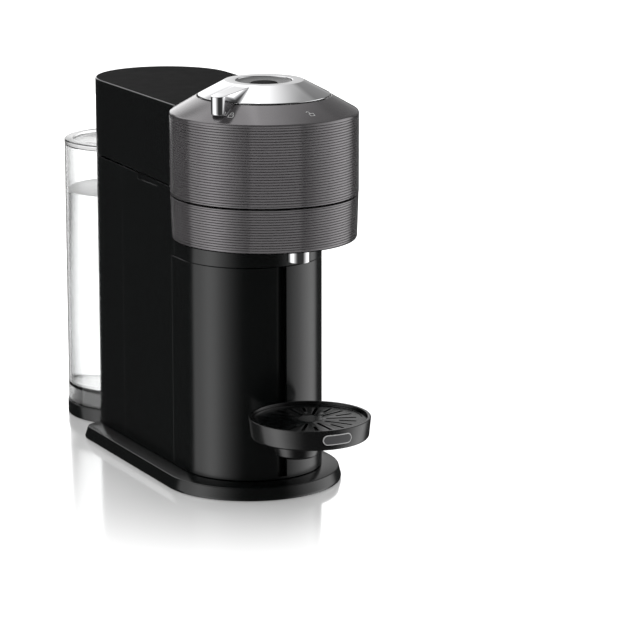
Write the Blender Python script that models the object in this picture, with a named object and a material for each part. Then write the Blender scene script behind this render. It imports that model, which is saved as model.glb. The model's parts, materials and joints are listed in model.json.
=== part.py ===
"""Pod coffee machine. Metres, +Z up, front towards -Y, floor at Z = 0, origin under the middle of the box."""

from math import acos, asin, atan2, cos, pi, radians, sin, sqrt

import bmesh
import bpy
from mathutils import Matrix, Vector

# Overall plan
DEPTH = 0.430  # tray front to tank seat rear
GAP = 0.0003  # between pieces that touch
WALL = 0.0024  # moulded wall
ROUND = 48  # sides of a large turned piece
SMALL_ROUND = 24  # sides of a small one

# Head: drum axis, radius and heights
HEAD_Y = -0.0944
HEAD_R = 0.0710
RING_FOOT_R = 0.0698
RING_FOOT = 0.1955
RING_TOP = 0.2279
COVER_FOOT = 0.2293
COVER_CREASE = 0.2906
CONE_R = 0.0504
CONE_TOP = 0.3023
SHELF = 0.3000  # flat under the lever ring
SHELF_HOLE_R = 0.0240

# Lever ring, button
LEVER_FLAT_R = 0.0300
LEVER_TOP = 0.3138
RECESS_R = 0.0212
LEVER_ANGLE = radians(58)  # from the front towards -X
LEVER_REACH = 0.0680
LEVER_WIDTH = 0.0105  # at the tip
LEVER_FLARE = 0.03  # half width gained per metre inwards
BUTTON_R = 0.0095

# Body: a stadium in plan
BODY_R = 0.0550
COLUMN_Y = HEAD_Y + 0.0260
BACK_Y = HEAD_Y + 0.1800
CONTAINER_BACK = HEAD_Y + 0.0480
PANEL_LINE = HEAD_Y + 0.1410
COLUMN_TOP = 0.1770
HOUSING_FOOT = 0.0122
SEAM_FRONT, SEAM_SLOPE = 0.2287, 0.0165  # top edge of the lower body at Y = COLUMN_Y, and its rise
UPPER_FRONT, UPPER_SLOPE = 0.2294, 0.0210  # lower edge of the upper housing
UPPER_TOP = 0.2928
NOTCH_Y = (HEAD_Y + 0.0740, HEAD_Y + 0.1110)  # finger notch in each side of the lower body
NOTCH_FOOT = 0.2255
NOTCH_DEPTH = 0.0013

# Base plate and tank
BASE_R = 0.0700
BASE_SIDE_END = HEAD_Y + 0.2000
BASE_CORNER_R = 0.0140
BASE_UNDERSIDE = 0.0006
BASE_TOP = 0.0118
SEAT_R = 0.0515
FEET = [(-0.045, -0.100), (0.045, -0.100), (-0.030, 0.170), (0.030, 0.170)]
SCREWS = [(-0.045, -0.040), (0.045, -0.040), (-0.045, 0.070), (0.045, 0.070)]
GLAND_ANGLE = radians(35)  # from +X round the back
GLAND_Z = 0.0220
TANK_Y = DEPTH / 2 - SEAT_R
SEAT_TOP = BASE_TOP
SEAT_BOSS_TOP = 0.0240
TANK_R = 0.0507
TANK_WALL = 0.0020
TANK_FLOOR = 0.0268
TANK_TOP = 0.2277
LID_TOP = 0.2320
NEST_R = 0.0563  # concave side of the tank, about BACK_Y
VALVE_Y = 0.1750

# Cup support
TRAY_R = 0.0455
TRAY_Y = -DEPTH / 2 + TRAY_R
TRAY_RIM = 0.0727
TRAY_FOOT = 0.0572
TRAY_FLOOR = 0.0600
GRID_LEDGE = 0.0682
GRID_SLOTS = 10
BOSS_FOOT = 0.0370
BOSS_Y = -0.1480
SLOT_WIDTH = 0.0080
HOOK_WIDTH = 0.0120

# Outlet, brewing unit and drive
OUTLET_Y = HEAD_Y - 0.0570
OUTLET_R = 0.0085
OUTLET_FOOT = 0.1860
CUP_R = 0.0330
CUP_TOP = 0.2260
HUB_R = 0.0080
PULLEY_Z = (0.1850, 0.1912)
CUP_PULLEY_R = 0.0160
MOTOR_PULLEY_R = 0.0080
MOTOR_Y = 0.0050
MOTOR_R = 0.0220
HINGE_Y, HINGE_Z = 0.1300, 0.2385
PIN_R = 0.0020

COLOURS = {  # name: colour, roughness, metallic
    "satin_black": ((0.012, 0.013, 0.013), 0.32, 0.0),
    "matt_black": ((0.020, 0.020, 0.020), 0.55, 0.0),
    "titanium_grey": ((0.130, 0.125, 0.130), 0.38, 0.6),
    "chrome": ((0.80, 0.80, 0.80), 0.08, 1.0),
    "dark_grey": ((0.100, 0.100, 0.100), 0.45, 0.0),
    "gloss_black": ((0.010, 0.010, 0.010), 0.08, 0.0),
    "clear_plastic": ((0.85, 0.88, 0.88), 0.05, 0.0),
    "rubber": ((0.030, 0.030, 0.030), 0.80, 0.0),
    "silicone": ((0.45, 0.45, 0.43), 0.60, 0.0),
    "steel": ((0.45, 0.45, 0.45), 0.30, 1.0),
    "aluminium": ((0.55, 0.55, 0.56), 0.40, 1.0),
    "inner_plastic": ((0.25, 0.25, 0.25), 0.50, 0.0),
    "board_green": ((0.02, 0.16, 0.06), 0.45, 0.0),
}


# Helpers


def clear_scene():
    for obj in list(bpy.data.objects):
        bpy.data.objects.remove(obj)


def material(name):
    if name in bpy.data.materials:
        return bpy.data.materials[name]
    colour, roughness, metallic = COLOURS[name]
    made = bpy.data.materials.new(name)
    made.use_nodes = True
    shader = made.node_tree.nodes["Principled BSDF"]
    shader.inputs["Base Color"].default_value = (*colour, 1)
    shader.inputs["Roughness"].default_value = roughness
    shader.inputs["Metallic"].default_value = metallic
    return made


def pivot(name, at, parent=None):
    """An empty on a joint's axis, which carries the pieces that move with it."""
    empty = bpy.data.objects.new(name, None)
    bpy.context.collection.objects.link(empty)
    empty.empty_display_size = 0.02
    empty["at"] = at
    carry(empty, parent, at)
    return empty


def carry(obj, parent, at):
    """Places obj at a world point, as a child of parent."""
    obj.location = at
    if parent:
        obj.parent = parent
        obj.matrix_parent_inverse = Matrix.Translation(-Vector(parent["at"]))


def add(name, bm, colour, at=(0, 0, 0), parent=None):
    """Makes a named object from a bmesh whose faces are turned outwards."""
    bmesh.ops.recalc_face_normals(bm, faces=bm.faces)
    mesh = bpy.data.meshes.new(name)
    bm.to_mesh(mesh)
    bm.free()
    mesh.shade_smooth()
    mesh.set_sharp_from_angle(angle=radians(30))
    mesh.materials.append(material(colour))
    obj = bpy.data.objects.new(name, mesh)
    bpy.context.collection.objects.link(obj)
    carry(obj, parent, at)
    return obj


def lathe(name, profile, colour, at=(0, 0, 0), sides=SMALL_ROUND, parent=None, turn=None):
    """Turns a closed section of (radius, height) points round Z, or from one point on the axis to another."""
    bm = bmesh.new()
    rings = []
    for radius, height in profile:
        if radius == 0:
            rings.append([bm.verts.new((0, 0, height))])
            continue
        angles = [2 * pi * k / sides for k in range(sides)]
        rings.append([bm.verts.new((radius * cos(a), radius * sin(a), height)) for a in angles])
    pairs = list(zip(rings, rings[1:]))
    if len(rings[0]) > 1:
        pairs.append((rings[-1], rings[0]))
    for low, high in pairs:
        for k in range(sides):
            n = k + 1
            corners = [low[k % len(low)], low[n % len(low)], high[n % len(high)], high[k % len(high)]]
            bm.faces.new(list(dict.fromkeys(corners)))
    if turn:
        bmesh.ops.transform(bm, matrix=turn, verts=bm.verts)
    return add(name, bm, colour, at, parent)


def tube(name, outer, inner, low, high, colour, at=(0, 0, 0), sides=SMALL_ROUND, parent=None, turn=None):
    section = [(outer, low), (outer, high), (inner, high), (inner, low)]
    return lathe(name, section, colour, at, sides, parent, turn)


def rod(name, radius, low, high, colour, at=(0, 0, 0), sides=SMALL_ROUND, parent=None, turn=None):
    return lathe(name, [(0, low), (radius, low), (radius, high), (0, high)], colour, at, sides, parent, turn)


def loft(name, outlines, colour, at=(0, 0, 0), parent=None):
    """Joins outlines of (x, y, z) points that have equal counts, and closes both ends."""
    bm = bmesh.new()
    rings = [[bm.verts.new(p) for p in outline] for outline in outlines]
    for low, high in zip(rings, rings[1:]):
        for k in range(len(low)):
            n = (k + 1) % len(low)
            bm.faces.new((low[k], low[n], high[n], high[k]))
    bm.faces.new(rings[0])
    bm.faces.new(rings[-1])
    return add(name, bm, colour, at, parent)


def prism(name, outline, low, high, colour, at=(0, 0, 0), parent=None):
    return loft(name, [[(x, y, z) for x, y in outline] for z in (low, high)], colour, at, parent)


def box(name, low, high, colour, parent=None):
    (x0, y0, z0), (x1, y1, z1) = low, high
    middle = ((x0 + x1) / 2, (y0 + y1) / 2, 0)
    w, d = (x1 - x0) / 2, (y1 - y0) / 2
    return prism(name, [(-w, -d), (w, -d), (w, d), (-w, d)], z0, z1, colour, middle, parent)


def turn_about(obj, at, angle):
    """Moves obj to a point and swings it round that point's vertical."""
    obj.matrix_world = Matrix.Translation(at) @ Matrix.Rotation(angle, 4, "Z") @ obj.matrix_basis


def combine(target, operation, *others):
    for other in others:
        other.hide_render = True
        other.display_type = "WIRE"
        modifier = target.modifiers.new(other.name, "BOOLEAN")
        modifier.operation = operation
        modifier.object = other
    return target


def cut(target, *cutters):
    return combine(target, "DIFFERENCE", *cutters)


def fuse(target, *others):
    return combine(target, "UNION", *others)


def arc(centre_y, radius, start, end, steps):
    """Plan points about (0, centre_y), angles counted anticlockwise from +X."""
    angles = [start + (end - start) * k / steps for k in range(steps + 1)]
    return [(radius * cos(a), centre_y + radius * sin(a)) for a in angles]


def stadium(radius, front_y, back_y, steps=24):
    """Front and back half circles joined by straight sides."""
    return arc(front_y, radius, -pi, 0, steps) + arc(back_y, radius, 0, pi, steps)


def crescent(radius, nest_radius, steps=32):
    """A circle about TANK_Y with the circle about BACK_Y bitten out of it."""
    spread = TANK_Y - BACK_Y
    along = (spread**2 + nest_radius**2 - radius**2) / (2 * spread)
    across = sqrt(nest_radius**2 - along**2)
    tip = atan2(along - spread, across)
    nest_tip = atan2(along, across)
    outer = arc(TANK_Y, radius, tip, pi - tip, steps)
    nest = arc(BACK_Y, nest_radius, pi - nest_tip, nest_tip, 14)
    return outer + nest[1:-1]


def slanted_block(name, front_z, slope, high):
    """A cutter whose underside rises towards the back, for the edges along the seam."""
    y0, y1, w = -0.2, 0.2, 0.1
    z0, z1 = (front_z + slope * (y - COLUMN_Y) for y in (y0, y1))
    bottom = [(-w, y0, z0), (w, y0, z0), (w, y1, z1), (-w, y1, z1)]
    return loft(name, [bottom, [(x, y, high) for x, y, _ in bottom]], "steel")


def head_envelope(name, low, spare=GAP):
    """A solid a little larger than the drum head, which clears the housings around it."""
    section = [(0, low), (HEAD_R + spare, low), (HEAD_R + spare, COVER_CREASE + spare)]
    section += [(CONE_R + spare, CONE_TOP + spare), (0, CONE_TOP + spare)]
    return lathe(name, section, "steel", (0, HEAD_Y, 0), ROUND)


# Base


def base_plate():
    def plan(inset, z):
        r, corner = BASE_R - inset, BASE_CORNER_R
        points = arc(COLUMN_Y, r, -pi, 0, 28)
        for side, start in ((1, 0), (-1, pi / 2)):
            for k in range(5):
                a = start + pi / 2 * k / 4
                x, y = side * (r - corner), BASE_SIDE_END - inset - corner
                points.append((x + corner * cos(a), y + corner * sin(a)))
        return [(x, y, z) for x, y in points]

    outlines = [plan(0.0006, BASE_UNDERSIDE), plan(0, 0.0016), plan(0.0020, 0.0102), plan(0.0130, BASE_TOP)]
    plate = loft("base_plate", outlines, "satin_black")
    pad = rod("base_pad", BODY_R + 0.0008, BASE_UNDERSIDE, BASE_TOP, "steel", (0, BACK_Y, 0), ROUND)
    seat_section = [(0, BASE_UNDERSIDE), (SEAT_R - 0.0006, BASE_UNDERSIDE), (SEAT_R, 0.0016)]
    seat_section += [(SEAT_R, SEAT_TOP - 0.001), (SEAT_R - 0.001, SEAT_TOP), (0, SEAT_TOP)]
    seat = lathe("tank_seat", seat_section, "steel", (0, TANK_Y, 0), ROUND)
    boss_plan = crescent(TANK_R - TANK_WALL - 0.0022, NEST_R + 0.0045)
    boss = prism("seat_boss", boss_plan, 0.006, SEAT_BOSS_TOP, "steel")
    valve_well = rod("valve_well", 0.0110, 0.0160, 0.03, "steel", (0, VALVE_Y, 0))
    fuse(plate, pad, seat, boss)
    cut(plate, valve_well)
    for k, (x, y) in enumerate(FEET, 1):
        cut(plate, rod(f"foot_pocket_{k}", 0.0093, -0.001, 0.0033, "steel", (x, y, 0), 16))
    for k, (x, y) in enumerate(SCREWS, 1):
        cut(plate, rod(f"screw_pocket_{k}", 0.0040, -0.001, 0.0058, "steel", (x, y, 0), 12))


def feet_and_screws():
    for k, (x, y) in enumerate(FEET, 1):
        section = [(0, 0), (0.0082, 0), (0.0090, 0.0010), (0.0090, 0.0030), (0, 0.0030)]
        lathe(f"foot_{k}", section, "rubber", (x, y, 0), 16)
    for k, (x, y) in enumerate(SCREWS, 1):
        section = [(0, 0.0030), (0.0034, 0.0030), (0.0034, 0.0050), (0.0016, 0.0055), (0, 0.0055)]
        lathe(f"base_screw_{k}", section, "steel", (x, y, 0), 12)


def out_of_back():
    """Turns +Z to point out of the round back at the gland."""
    return Matrix.Rotation(GLAND_ANGLE, 4, "Z") @ Matrix.Rotation(pi / 2, 4, "Y")


def cord_gland():
    """The bush that a cord would leave by."""
    out = BODY_R
    section = [(0, out - 0.0055), (0.0041, out - 0.0055), (0.0041, out + 0.0006), (0.0054, out + 0.0009)]
    section += [(0.0046, out + 0.0070), (0.0034, out + 0.0070), (0.0034, out - 0.0030), (0, out - 0.0030)]
    lathe("cord_gland", section, "rubber", (0, BACK_Y, GLAND_Z), 16, turn=out_of_back())


# Lower body


def open_shell(name, outer, inner, low, high, colour, parent=None):
    """A C-shaped wall between two open plan curves with equal counts."""
    outline = outer + inner[::-1]
    return prism(name, outline, low, high, colour, parent=parent)


def mid_housing():
    """Side walls beside the machinery, and the bulkhead behind the used-pod container."""
    front, back, inner = HEAD_Y + 0.0436, PANEL_LINE - 0.0002, BODY_R - WALL
    bulkhead = CONTAINER_BACK + 0.0030
    outline = [(-BODY_R, front), (BODY_R, front), (BODY_R, back), (inner, back), (inner, bulkhead)]
    outline += [(-inner, bulkhead), (-inner, back), (-BODY_R, back)]
    housing = prism("mid_housing", outline, HOUSING_FOOT, 0.24, "satin_black")
    bay = box("container_bay", (-0.1, -0.2, 0), (0.1, CONTAINER_BACK + GAP, COLUMN_TOP + GAP), "steel")
    drive_low, drive_back = COLUMN_TOP - 0.004, CONTAINER_BACK + 0.01
    drive_bay = box("drive_bay", (-inner, -0.2, drive_low), (inner, drive_back, 0.26), "steel")
    cut(housing, bay, drive_bay, head_envelope("mid_head_room", RING_FOOT - 0.001))
    cut(housing, slanted_block("mid_seam", SEAM_FRONT, SEAM_SLOPE, 0.3))
    y0, y1 = NOTCH_Y
    for side in (-1, 1):
        x0, x1 = sorted((side * 0.1, side * (BODY_R - NOTCH_DEPTH)))
        cut(housing, box(f"side_notch_{side}", (x0, y0, NOTCH_FOOT), (x1, y1, 0.3), "steel"))


def rear_housing():
    """The round back that the tank nests against."""
    front = PANEL_LINE + 0.0002
    outer = [(BODY_R, front)] + arc(BACK_Y, BODY_R, 0, pi, 32) + [(-BODY_R, front)]
    inner_r = BODY_R - WALL
    inner = [(inner_r, front)] + arc(BACK_Y, inner_r, 0, pi, 32) + [(-inner_r, front)]
    housing = open_shell("rear_housing", outer, inner, HOUSING_FOOT, 0.24, "satin_black")
    cut(housing, slanted_block("rear_seam", SEAM_FRONT, SEAM_SLOPE, 0.3))
    low, high, at = BODY_R - 0.01, BODY_R + 0.01, (0, BACK_Y, GLAND_Z)
    cut(housing, rod("gland_hole", 0.0044, low, high, "steel", at, 16, turn=out_of_back()))
    cut(housing, box("hinge_relief", (-0.06, HINGE_Y - 0.010, 0.2275), (0.06, 0.2, 0.3), "steel"))


def head_ring():
    inner = HEAD_R - 0.0045
    section = [(RING_FOOT_R - 0.0006, RING_FOOT), (RING_FOOT_R, RING_FOOT + 0.0008)]
    section += [(HEAD_R - 0.0002, RING_TOP), (inner, RING_TOP), (inner, RING_FOOT)]
    lathe("head_ring", section, "titanium_grey", (0, HEAD_Y, 0), ROUND)


def neck():
    """The underside of the head: from the ring's circle in to the column's rounded front."""
    steps = 36

    def drum_curve(r, z):
        half = pi - asin((BODY_R - RING_FOOT_R + r) / r)
        angles = [-half + 2 * half * k / steps for k in range(steps + 1)]
        return [(r * sin(a), HEAD_Y - r * cos(a), z) for a in angles]

    def column_curve(r, z):
        end = HEAD_Y + sqrt(RING_FOOT_R**2 - BODY_R**2)
        side = end - COLUMN_Y
        length = 2 * side + pi * r
        points = []
        for k in range(steps + 1):
            s = length * k / steps
            if s < side:
                points.append((-r, end - s, z))
            elif s > length - side:
                points.append((r, end - (length - s), z))
            else:
                a = (s - side) / r
                points.append((-r * cos(a), COLUMN_Y - r * sin(a), z))
        return points

    top, foot = RING_FOOT - GAP, COLUMN_TOP
    curves = [drum_curve(RING_FOOT_R, top), column_curve(BODY_R, foot)]
    curves += [column_curve(BODY_R - WALL, foot), drum_curve(RING_FOOT_R - WALL, top)]
    bm = bmesh.new()
    rows = [[bm.verts.new(p) for p in curve] for curve in curves]
    for a, b in zip(rows, rows[1:] + rows[:1]):
        for k in range(steps):
            bm.faces.new((a[k], a[k + 1], b[k + 1], b[k]))
    for k in (0, steps):
        bm.faces.new([row[k] for row in rows])
    piece = add("neck", bm, "satin_black")
    cut(piece, rod("outlet_hole", OUTLET_R + GAP, 0.17, 0.21, "steel", (0, OUTLET_Y, 0)))


# Brewing unit


def brewing_unit():
    floor = tube("brew_floor", HEAD_R - 0.0048, 0.0133, 0.1962, 0.1990, "inner_plastic", (0, HEAD_Y, 0), ROUND)
    cut(floor, rod("floor_outlet_hole", OUTLET_R + GAP, 0.19, 0.21, "steel", (0, OUTLET_Y, 0)))
    tube("cup_bearing", 0.0130, HUB_R + GAP, 0.1935, 0.1995, "steel", (0, HEAD_Y, 0))
    collector = [(0.0465, 0.1993), (0.0465, 0.2230), (0.0445, 0.2230), (0.0445, 0.2040), (0.0380, 0.2060)]
    collector += [(0.0380, 0.2180), (0.0362, 0.2180), (0.0362, 0.1993)]
    lathe("coffee_collector", collector, "inner_plastic", (0, HEAD_Y, 0), 32)
    section = [(OUTLET_R - 0.0004, OUTLET_FOOT), (OUTLET_R, OUTLET_FOOT + 0.0006), (OUTLET_R, 0.2035)]
    section += [(0.0055, 0.2035), (0.0055, OUTLET_FOOT)]
    lathe("outlet_nozzle", section, "chrome", (0, OUTLET_Y, 0), SMALL_ROUND)


def pod_cup(carrier):
    section = [(0, 0.1842), (HUB_R, 0.1842), (HUB_R, 0.2000), (0.0200, 0.2010), (0.0300, 0.2090)]
    section += [(CUP_R, 0.2240), (CUP_R + 0.0006, CUP_TOP), (0.0306, CUP_TOP), (0.0300, 0.2220)]
    section += [(0.0270, 0.2110), (0.0160, 0.2045), (0, 0.2035)]
    lathe("pod_cup", section, "aluminium", (0, HEAD_Y, 0), 36, carrier)
    tube("cup_pulley", CUP_PULLEY_R, HUB_R + GAP, *PULLEY_Z, "inner_plastic", (0, HEAD_Y, 0), 36, carrier)


def drive(carrier):
    motor = [(0, 0.1250), (MOTOR_R, 0.1250), (MOTOR_R, 0.1790), (0.0035, 0.1790), (0.0035, 0.1400), (0, 0.1400)]
    lathe("drive_motor", motor, "steel", (0, MOTOR_Y, 0), 32)
    z0, z1 = PULLEY_Z
    rotor = [(0, 0.1420), (0.0030, 0.1420), (0.0030, z0), (MOTOR_PULLEY_R, z0), (MOTOR_PULLEY_R, z1), (0, z1)]
    lathe("motor_rotor", rotor, "steel", (0, MOTOR_Y, 0), SMALL_ROUND, carrier)
    bracket = box("motor_bracket", (-0.0500, -0.0410, 0.1795), (0.0500, 0.0400, 0.1815), "steel")
    cut(bracket, rod("bracket_hole", 0.0045, 0.17, 0.19, "steel", (0, MOTOR_Y, 0)))
    drive_belt()


def drive_belt():
    """A flat loop round both pulleys, tangent to each."""
    spread = MOTOR_Y - HEAD_Y

    def loop(offset):
        big, small = CUP_PULLEY_R + offset, MOTOR_PULLEY_R + offset
        lean = acos((big - small) / spread)
        back = arc(MOTOR_Y, small, pi / 2 - lean, pi / 2 + lean, 12)
        front = arc(HEAD_Y, big, pi / 2 + lean, 2.5 * pi - lean, 24)
        return back + front

    belt = prism("drive_belt", loop(GAP + 0.0014), PULLEY_Z[0] + 0.0006, PULLEY_Z[1] - 0.0006, "rubber")
    cut(belt, prism("belt_inside", loop(GAP), 0.18, 0.20, "steel"))


def machinery():
    """Pump, heater, flow meter, board and hoses, packed in the back of the lower body."""
    rod("water_pump", 0.0170, 0.0160, 0.1000, "inner_plastic", (-0.0300, 0.0700, 0), SMALL_ROUND)
    rod("flow_heater", 0.0200, 0.0160, 0.1100, "aluminium", (0.0260, 0.0700, 0), SMALL_ROUND)
    rod("flow_meter", 0.0100, 0.0160, 0.0320, "inner_plastic", (-0.0100, 0.1100, 0), SMALL_ROUND)
    box("control_board", (0.0470, -0.0300, 0.0400), (0.0486, 0.0400, 0.1100), "board_green")
    inlet = [(-0.010, 0.110, 0.0326), (-0.010, 0.110, 0.052), (-0.018, 0.100, 0.120), (-0.030, 0.070, 0.122)]
    hose("inlet_hose", inlet + [(-0.030, 0.070, 0.1004)])
    pump = [(-0.040, 0.060, 0.1004), (-0.040, 0.058, 0.138), (0.010, 0.062, 0.140), (0.020, 0.066, 0.132)]
    hose("pump_hose", pump + [(0.020, 0.066, 0.1104)])
    brew = [(0.034, 0.070, 0.1104), (0.034, 0.072, 0.160), (0.030, 0.060, 0.190), (0.026, 0.040, 0.212)]
    hose("brew_hose", brew + [(0.026, 0.020, 0.218)])


def hose(name, points):
    curve = bpy.data.curves.new(name, "CURVE")
    curve.dimensions = "3D"
    curve.resolution_u = 4
    curve.bevel_depth = 0.0030
    curve.bevel_resolution = 1
    curve.use_fill_caps = True
    spline = curve.splines.new("BEZIER")
    spline.bezier_points.add(len(points) - 1)
    for place, point in zip(spline.bezier_points, points):
        place.co = point
        place.handle_left_type = place.handle_right_type = "AUTO"
    curve.materials.append(material("silicone"))
    bpy.context.collection.objects.link(bpy.data.objects.new(name, curve))


def chassis():
    """The upright behind the machinery, whose ears hold the hinge pin."""
    upright = box("chassis_upright", (-0.0300, 0.1220, HOUSING_FOOT), (0.0300, 0.1246, 0.2240), "steel")
    along_x = Matrix.Rotation(pi / 2, 4, "Y")
    for side in (-1, 1):
        x0, x1 = sorted((side * 0.0105, side * 0.0150))
        fuse(upright, box(f"ear_{side}", (x0, 0.1222, 0.2100), (x1, HINGE_Y, HINGE_Z), "steel"))
        fuse(upright, rod(f"ear_eye_{side}", 0.0045, x0, x1, "steel", (0, HINGE_Y, HINGE_Z), turn=along_x))
    cut(upright, rod("ear_bore", PIN_R + GAP, -0.03, 0.03, "steel", (0, HINGE_Y, HINGE_Z), turn=along_x))
    rod("hinge_pin", PIN_R, -0.0165, 0.0165, "steel", (0, HINGE_Y, HINGE_Z), 16, turn=along_x)


# Head


def head_cover(carrier):
    skin = 0.0025
    section = [(HEAD_R, COVER_FOOT), (HEAD_R, COVER_CREASE), (CONE_R + 0.0004, CONE_TOP - 0.0002)]
    section += [(CONE_R - 0.0002, SHELF), (SHELF_HOLE_R, SHELF), (SHELF_HOLE_R, SHELF - skin)]
    section += [(CONE_R - skin, SHELF - skin), (HEAD_R - skin, COVER_CREASE - skin)]
    section += [(HEAD_R - skin, COVER_FOOT)]
    cover = lathe("head_cover", section, "titanium_grey", (0, HEAD_Y, 0), ROUND, carrier)
    window = box("frame_window", (-0.0400, HEAD_Y + 0.0500, 0.22), (0.0400, HEAD_Y + 0.1, 0.2400), "steel")
    cut(cover, window)


def upper_housing(carrier):
    outer = stadium(BODY_R, COLUMN_Y + 0.02, BACK_Y)
    inner = stadium(BODY_R - WALL, COLUMN_Y + 0.02, BACK_Y)
    housing = prism("upper_housing", outer, 0.22, UPPER_TOP, "matt_black", parent=carrier)
    cut(housing, prism("upper_inside", inner, 0.2, UPPER_TOP - WALL, "steel"))
    cut(housing, head_envelope("upper_head_room", 0.2))
    cut(housing, slanted_block("upper_seam", UPPER_FRONT, UPPER_SLOPE, 0.15))


def head_frame(carrier):
    """The plate that joins the drum's core to the hinge, with the post under the button."""
    front, rear = HEAD_Y - 0.0220, 0.1215
    plate = box("head_frame", (-0.0300, front, 0.2350), (0.0300, rear, 0.2380), "aluminium", carrier)
    knuckle_arm = box("knuckle_arm", (-0.0095, 0.1200, 0.2350), (0.0095, HINGE_Y + 0.002, 0.2410), "steel")
    along_x = Matrix.Rotation(pi / 2, 4, "Y")
    knuckle = rod("knuckle", 0.0045, -0.0095, 0.0095, "steel", (0, HINGE_Y, HINGE_Z), turn=along_x)
    post = rod("button_post", 0.0120, 0.2360, 0.2960, "steel", (0, HEAD_Y, 0))
    fuse(plate, knuckle_arm, knuckle, post)
    cut(plate, rod("knuckle_bore", PIN_R + GAP, -0.03, 0.03, "steel", (0, HINGE_Y, HINGE_Z), turn=along_x))
    cut(plate, rod("rotor_bore", 0.0090, 0.22, 0.2420, "steel", (0, HEAD_Y, 0)))
    tube("head_bearing", 0.0087, 0.0053, 0.2350, 0.2400, "steel", (0, HEAD_Y, 0), parent=carrier)


def brew_head(carrier):
    section = [(0, 0.2215), (0.0012, 0.2240), (0.0012, 0.2277), (0.0320, 0.2277), (0.0320, 0.2300)]
    section += [(0.0120, 0.2325), (0.0050, 0.2325), (0.0050, 0.2405), (0, 0.2405)]
    lathe("brew_head", section, "inner_plastic", (0, HEAD_Y, 0), 32, carrier)
    tube("head_seal", 0.0315, 0.0270, 0.2264, 0.2274, "silicone", (0, HEAD_Y, 0), 32, carrier)


def button_group(head, button):
    at = (0, HEAD_Y, 0)
    rod("button_board", 0.0200, 0.2963, 0.2979, "board_green", at, parent=head)
    tube("button_spring", 0.0050, 0.0036, 0.2982, 0.3032, "steel", at, 16, head)
    section = [(0.0208, 0.2982), (0.0208, 0.3088), (0.0202, 0.3094), (BUTTON_R + 0.0010, 0.3094)]
    section += [(BUTTON_R + 0.0010, 0.3070), (0.0190, 0.3060), (0.0190, 0.2982)]
    lathe("button_surround", section, "dark_grey", at, ROUND, head)
    cap = [(0, 0.3035), (BUTTON_R, 0.3035), (BUTTON_R, 0.3096), (BUTTON_R - 0.0008, 0.3104), (0, 0.3108)]
    lathe("brew_button", cap, "gloss_black", at, 32, button)


def lever(carrier):
    """Chrome ring, its arm, and the sleeve and hooked ring that it turns inside the head."""
    at = (0, HEAD_Y, 0)
    section = [(CONE_R - 0.0006, 0.3027), (LEVER_FLAT_R, 0.3132), (LEVER_FLAT_R - 0.0010, LEVER_TOP)]
    section += [(RECESS_R, LEVER_TOP), (RECESS_R, 0.2950), (SHELF_HOLE_R - 0.0005, 0.2950)]
    section += [(SHELF_HOLE_R - 0.0005, 0.3027)]
    ring = lathe("lever_ring", section, "chrome", at, ROUND, carrier)
    side = [(0.0260, 0.3055), (0.0500, 0.3040), (LEVER_REACH, 0.2942), (LEVER_REACH, 0.3092), (0.0660, 0.3102)]
    side += [(0.0260, 0.3134)]
    bm = bmesh.new()
    faces = []
    for hand in (-1, 1):
        faces.append([])
        for reach, z in side:
            half = LEVER_WIDTH / 2 + LEVER_FLARE * (LEVER_REACH - reach)
            faces[-1].append(bm.verts.new((hand * half, -reach, z)))
        bm.faces.new(faces[-1])
    for k in range(len(side)):
        n = (k + 1) % len(side)
        bm.faces.new((faces[0][k], faces[0][n], faces[1][n], faces[1][k]))
    bmesh.ops.rotate(bm, matrix=Matrix.Rotation(-LEVER_ANGLE, 3, "Z"), verts=bm.verts)
    fuse(ring, add("lever_arm", bm, "chrome", at))
    lock = [(0.0500, 0.2900), (0.0500, 0.2925), (0.0205, 0.2925), (0.0205, 0.2900)]
    plate = lathe("lock_ring", lock, "steel", at, 32, carrier)
    for k, angle in enumerate((-80, 30)):
        hook = box(f"lock_hook_{k}", (-0.006, -0.0490, 0.2310), (0.006, -0.0460, 0.2910), "steel")
        turn_about(hook, at, radians(angle))
        fuse(plate, hook)


# Column


def pod_container(carrier):
    """The bin that takes used pods. Its front wall has the slot that the cup support hangs in."""
    low, high = HOUSING_FOOT, COLUMN_TOP - GAP
    back = CONTAINER_BACK

    def plan(r, rear):
        return arc(COLUMN_Y, r, -pi, 0, 32) + [(r, rear), (-r, rear)]

    bin_ = prism("pod_container", plan(BODY_R, back), low, high, "satin_black", parent=carrier)
    cut(bin_, prism("bin_inside", plan(BODY_R - WALL, back - WALL), low + WALL, 0.2, "steel"))
    front, sill = COLUMN_Y - BODY_R, low + 0.002
    fuse(bin_, box("slot_rail", (-0.0085, front + 0.0015, low), (0.0085, front + 0.0090, high), "steel"))
    for width, near, far in ((SLOT_WIDTH, -0.01, 0.0040), (HOOK_WIDTH, 0.0030, 0.0068)):
        cut(bin_, box(f"slot_{width}", (-width / 2, front + near, sill), (width / 2, front + far, 0.2), "steel"))


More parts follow.
